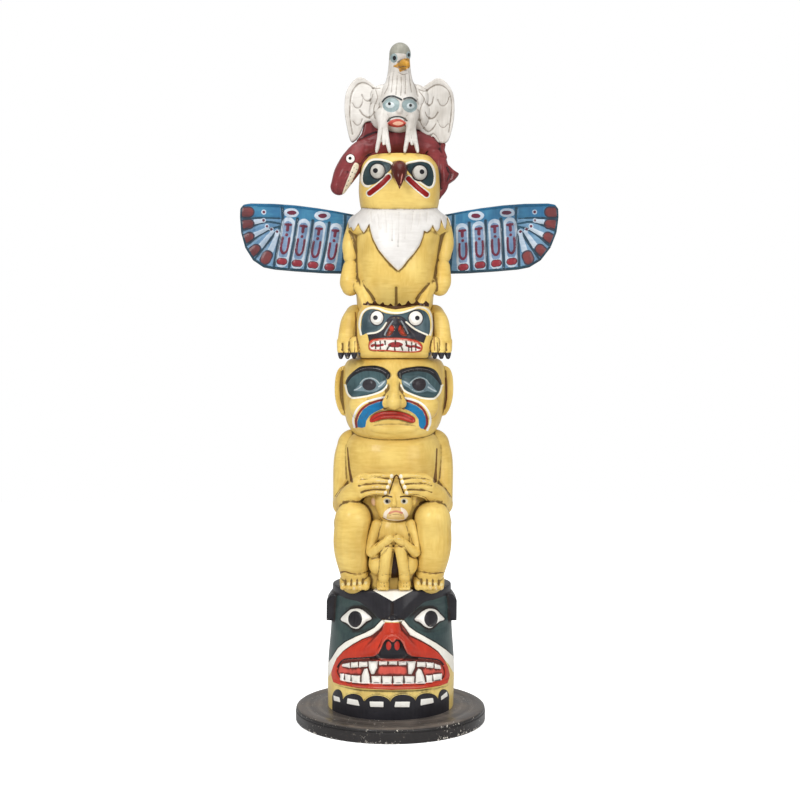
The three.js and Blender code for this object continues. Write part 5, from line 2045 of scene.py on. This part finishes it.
def base():
    """A round board, pulled up ring by ring from its underside along the turned profile."""
    profile = [
        (296.5, 0), (299.2, 3), (299.6, 9), (299.6, 30), (298, 32.2), (296.6, 33.2),
        (296.4, 34.2), (297.8, 35.2), (298.2, 37.5), (297, 40.5), (293.5, 43), (288, 44.6),
        (281, 45), (268, 44.9), (264, 44.2), (258, 43.4), (251, 43.2), (245, 43.8), (240, 44.6),
        (200, 44.8), (120, 44.8),
    ]
    bpy.ops.object.select_all(action="DESELECT")
    bpy.ops.mesh.primitive_circle_add(
        vertices=224, radius=profile[0][0] * MM, fill_type="NGON", location=(0, 0, 0)
    )
    disc = bpy.context.object
    disc.name = "round_board"
    disc.data.name = "round_board"
    bpy.ops.object.mode_set(mode="EDIT")
    bpy.ops.mesh.select_all(action="SELECT")
    for (wide, low), (next_wide, high) in zip(profile, profile[1:]):
        bpy.ops.mesh.extrude_region_move(
            TRANSFORM_OT_translate={"value": (0, 0, (high - low) * MM)}
        )
        bpy.ops.transform.resize(value=(next_wide / wide, next_wide / wide, 1))
    bpy.ops.mesh.select_all(action="SELECT")
    bpy.ops.mesh.normals_make_consistent(inside=False)
    bpy.ops.object.mode_set(mode="OBJECT")
    bpy.ops.object.shade_smooth_by_angle(angle=math.radians(35))
    return disc


# ---- The whole pole ---------------------------------------------------------------------------


# The slot and the solid of each piece that isn't part of the pole itself.
BELONGS = {
    "left_wing": ("wings", "wing_left"),
    "right_wing": ("wings", "wing_right"),
    "orca": ("whale", "whale"),
    "white_eagle": ("eagle", "eagle"),
}


def dress(piece, slot, node):
    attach(piece, "root")
    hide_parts(node)


def shade_where_pieces_meet(skins):
    """Paints shade where pieces meet: how near each point lies to another piece, for the hollow
    attribute.
    """
    trees = []
    for skin in skins:
        faces = [tuple(face.vertices) for face in skin.piece.data.polygons]
        trees.append(BVHTree.FromPolygons([Vector(p) for p in skin.at], faces))
    for skin in skins:
        gap = np.full(len(skin.at), SEAM_REACH)
        for other, tree in zip(skins, trees):
            if other is skin:
                continue
            low, high = other.at.min(0) - SEAM_REACH, other.at.max(0) + SEAM_REACH
            close = np.nonzero(((skin.at > low) & (skin.at < high)).all(1))[0]
            for i in close:
                found = tree.find_nearest(skin.at[i], SEAM_REACH)
                if found[0] is not None:
                    gap[i] = min(gap[i], found[3])
        skin.seam = 1 - gap / SEAM_REACH


made = [make() for make in (bear, seated_man, child, man_head, cub, thunderbird, thunderbird_head)]
made += [wing(1, "left_wing"), wing(-1, "right_wing"), whale(), eagle()]
shade_where_pieces_meet([skin for skin, look in made])
for skin, look in made:
    skin.finish()
    skin.piece.data.materials.append(look)
    dress(skin.piece, *BELONGS.get(skin.piece.name, ("pole", "pole")))
board = base()
board.data.materials.append(worn_board())
dress(board, "base", "base_disc")


# ---- The studio -------------------------------------------------------------------------------


def studio():
    bpy.ops.object.select_all(action="DESELECT")
    bpy.ops.mesh.primitive_plane_add(size=14, location=(0, 0, -0.0005))
    floor = bpy.context.object
    floor.name = "studio_floor"
    paper, tree, shader = new_look("studio_paper")
    set_values(
        shader, Base_Color=(0.9, 0.9, 0.9, 1), Roughness=0.9, Specular_IOR_Level=0,
        Emission_Color=(1, 1, 1, 1),
    )
    seen = place(tree, "LightPath").outputs["Is Camera Ray"]
    tree.links.new(sum_of(tree, "MULTIPLY", seen, 0.7), shader.inputs["Emission Strength"])
    floor.data.materials.append(paper)
    world = bpy.data.worlds.new("studio")
    world.use_nodes = True
    tree = world.node_tree
    air = tree.nodes["Background"]
    air.inputs["Color"].default_value = (1, 1, 1, 1)
    seen = place(tree, "LightPath").outputs["Is Camera Ray"]
    tree.links.new(sum_of(tree, "MULTIPLY_ADD", seen, 0.5, 0.5), air.inputs["Strength"])
    bpy.context.scene.world = world
    for name, spot, size, power in (
        ("key", (-2.0, -3.6, 3.0), 1.5, 90),
        ("fill", (2.4, -3.4, 1.9), 1.9, 52),
        ("top", (0, -0.6, 4.2), 2.0, 40),
    ):
        light = bpy.data.lights.new(name, "AREA")
        light.size = size
        light.energy = power
        lamp = bpy.data.objects.new(name, light)
        lamp.location = spot
        aim = Vector((0, 0, 1.05)) - Vector(spot)
        lamp.rotation_euler = aim.to_track_quat("-Z", "Y").to_euler()
        bpy.context.collection.objects.link(lamp)
    lens = bpy.data.cameras.new("camera")
    lens.lens = 56.7
    lens.sensor_width = 36
    lens.shift_x = 0.0119
    lens.shift_y = -0.025
    camera = bpy.data.objects.new("camera", lens)
    camera.location = (0, -STAND_OFF * MM, EYE_LEVEL * MM)
    camera.rotation_euler = (math.pi / 2, 0, 0)
    bpy.context.collection.objects.link(camera)
    bpy.context.scene.camera = camera
    bpy.context.scene.view_settings.view_transform = "Standard"


studio()
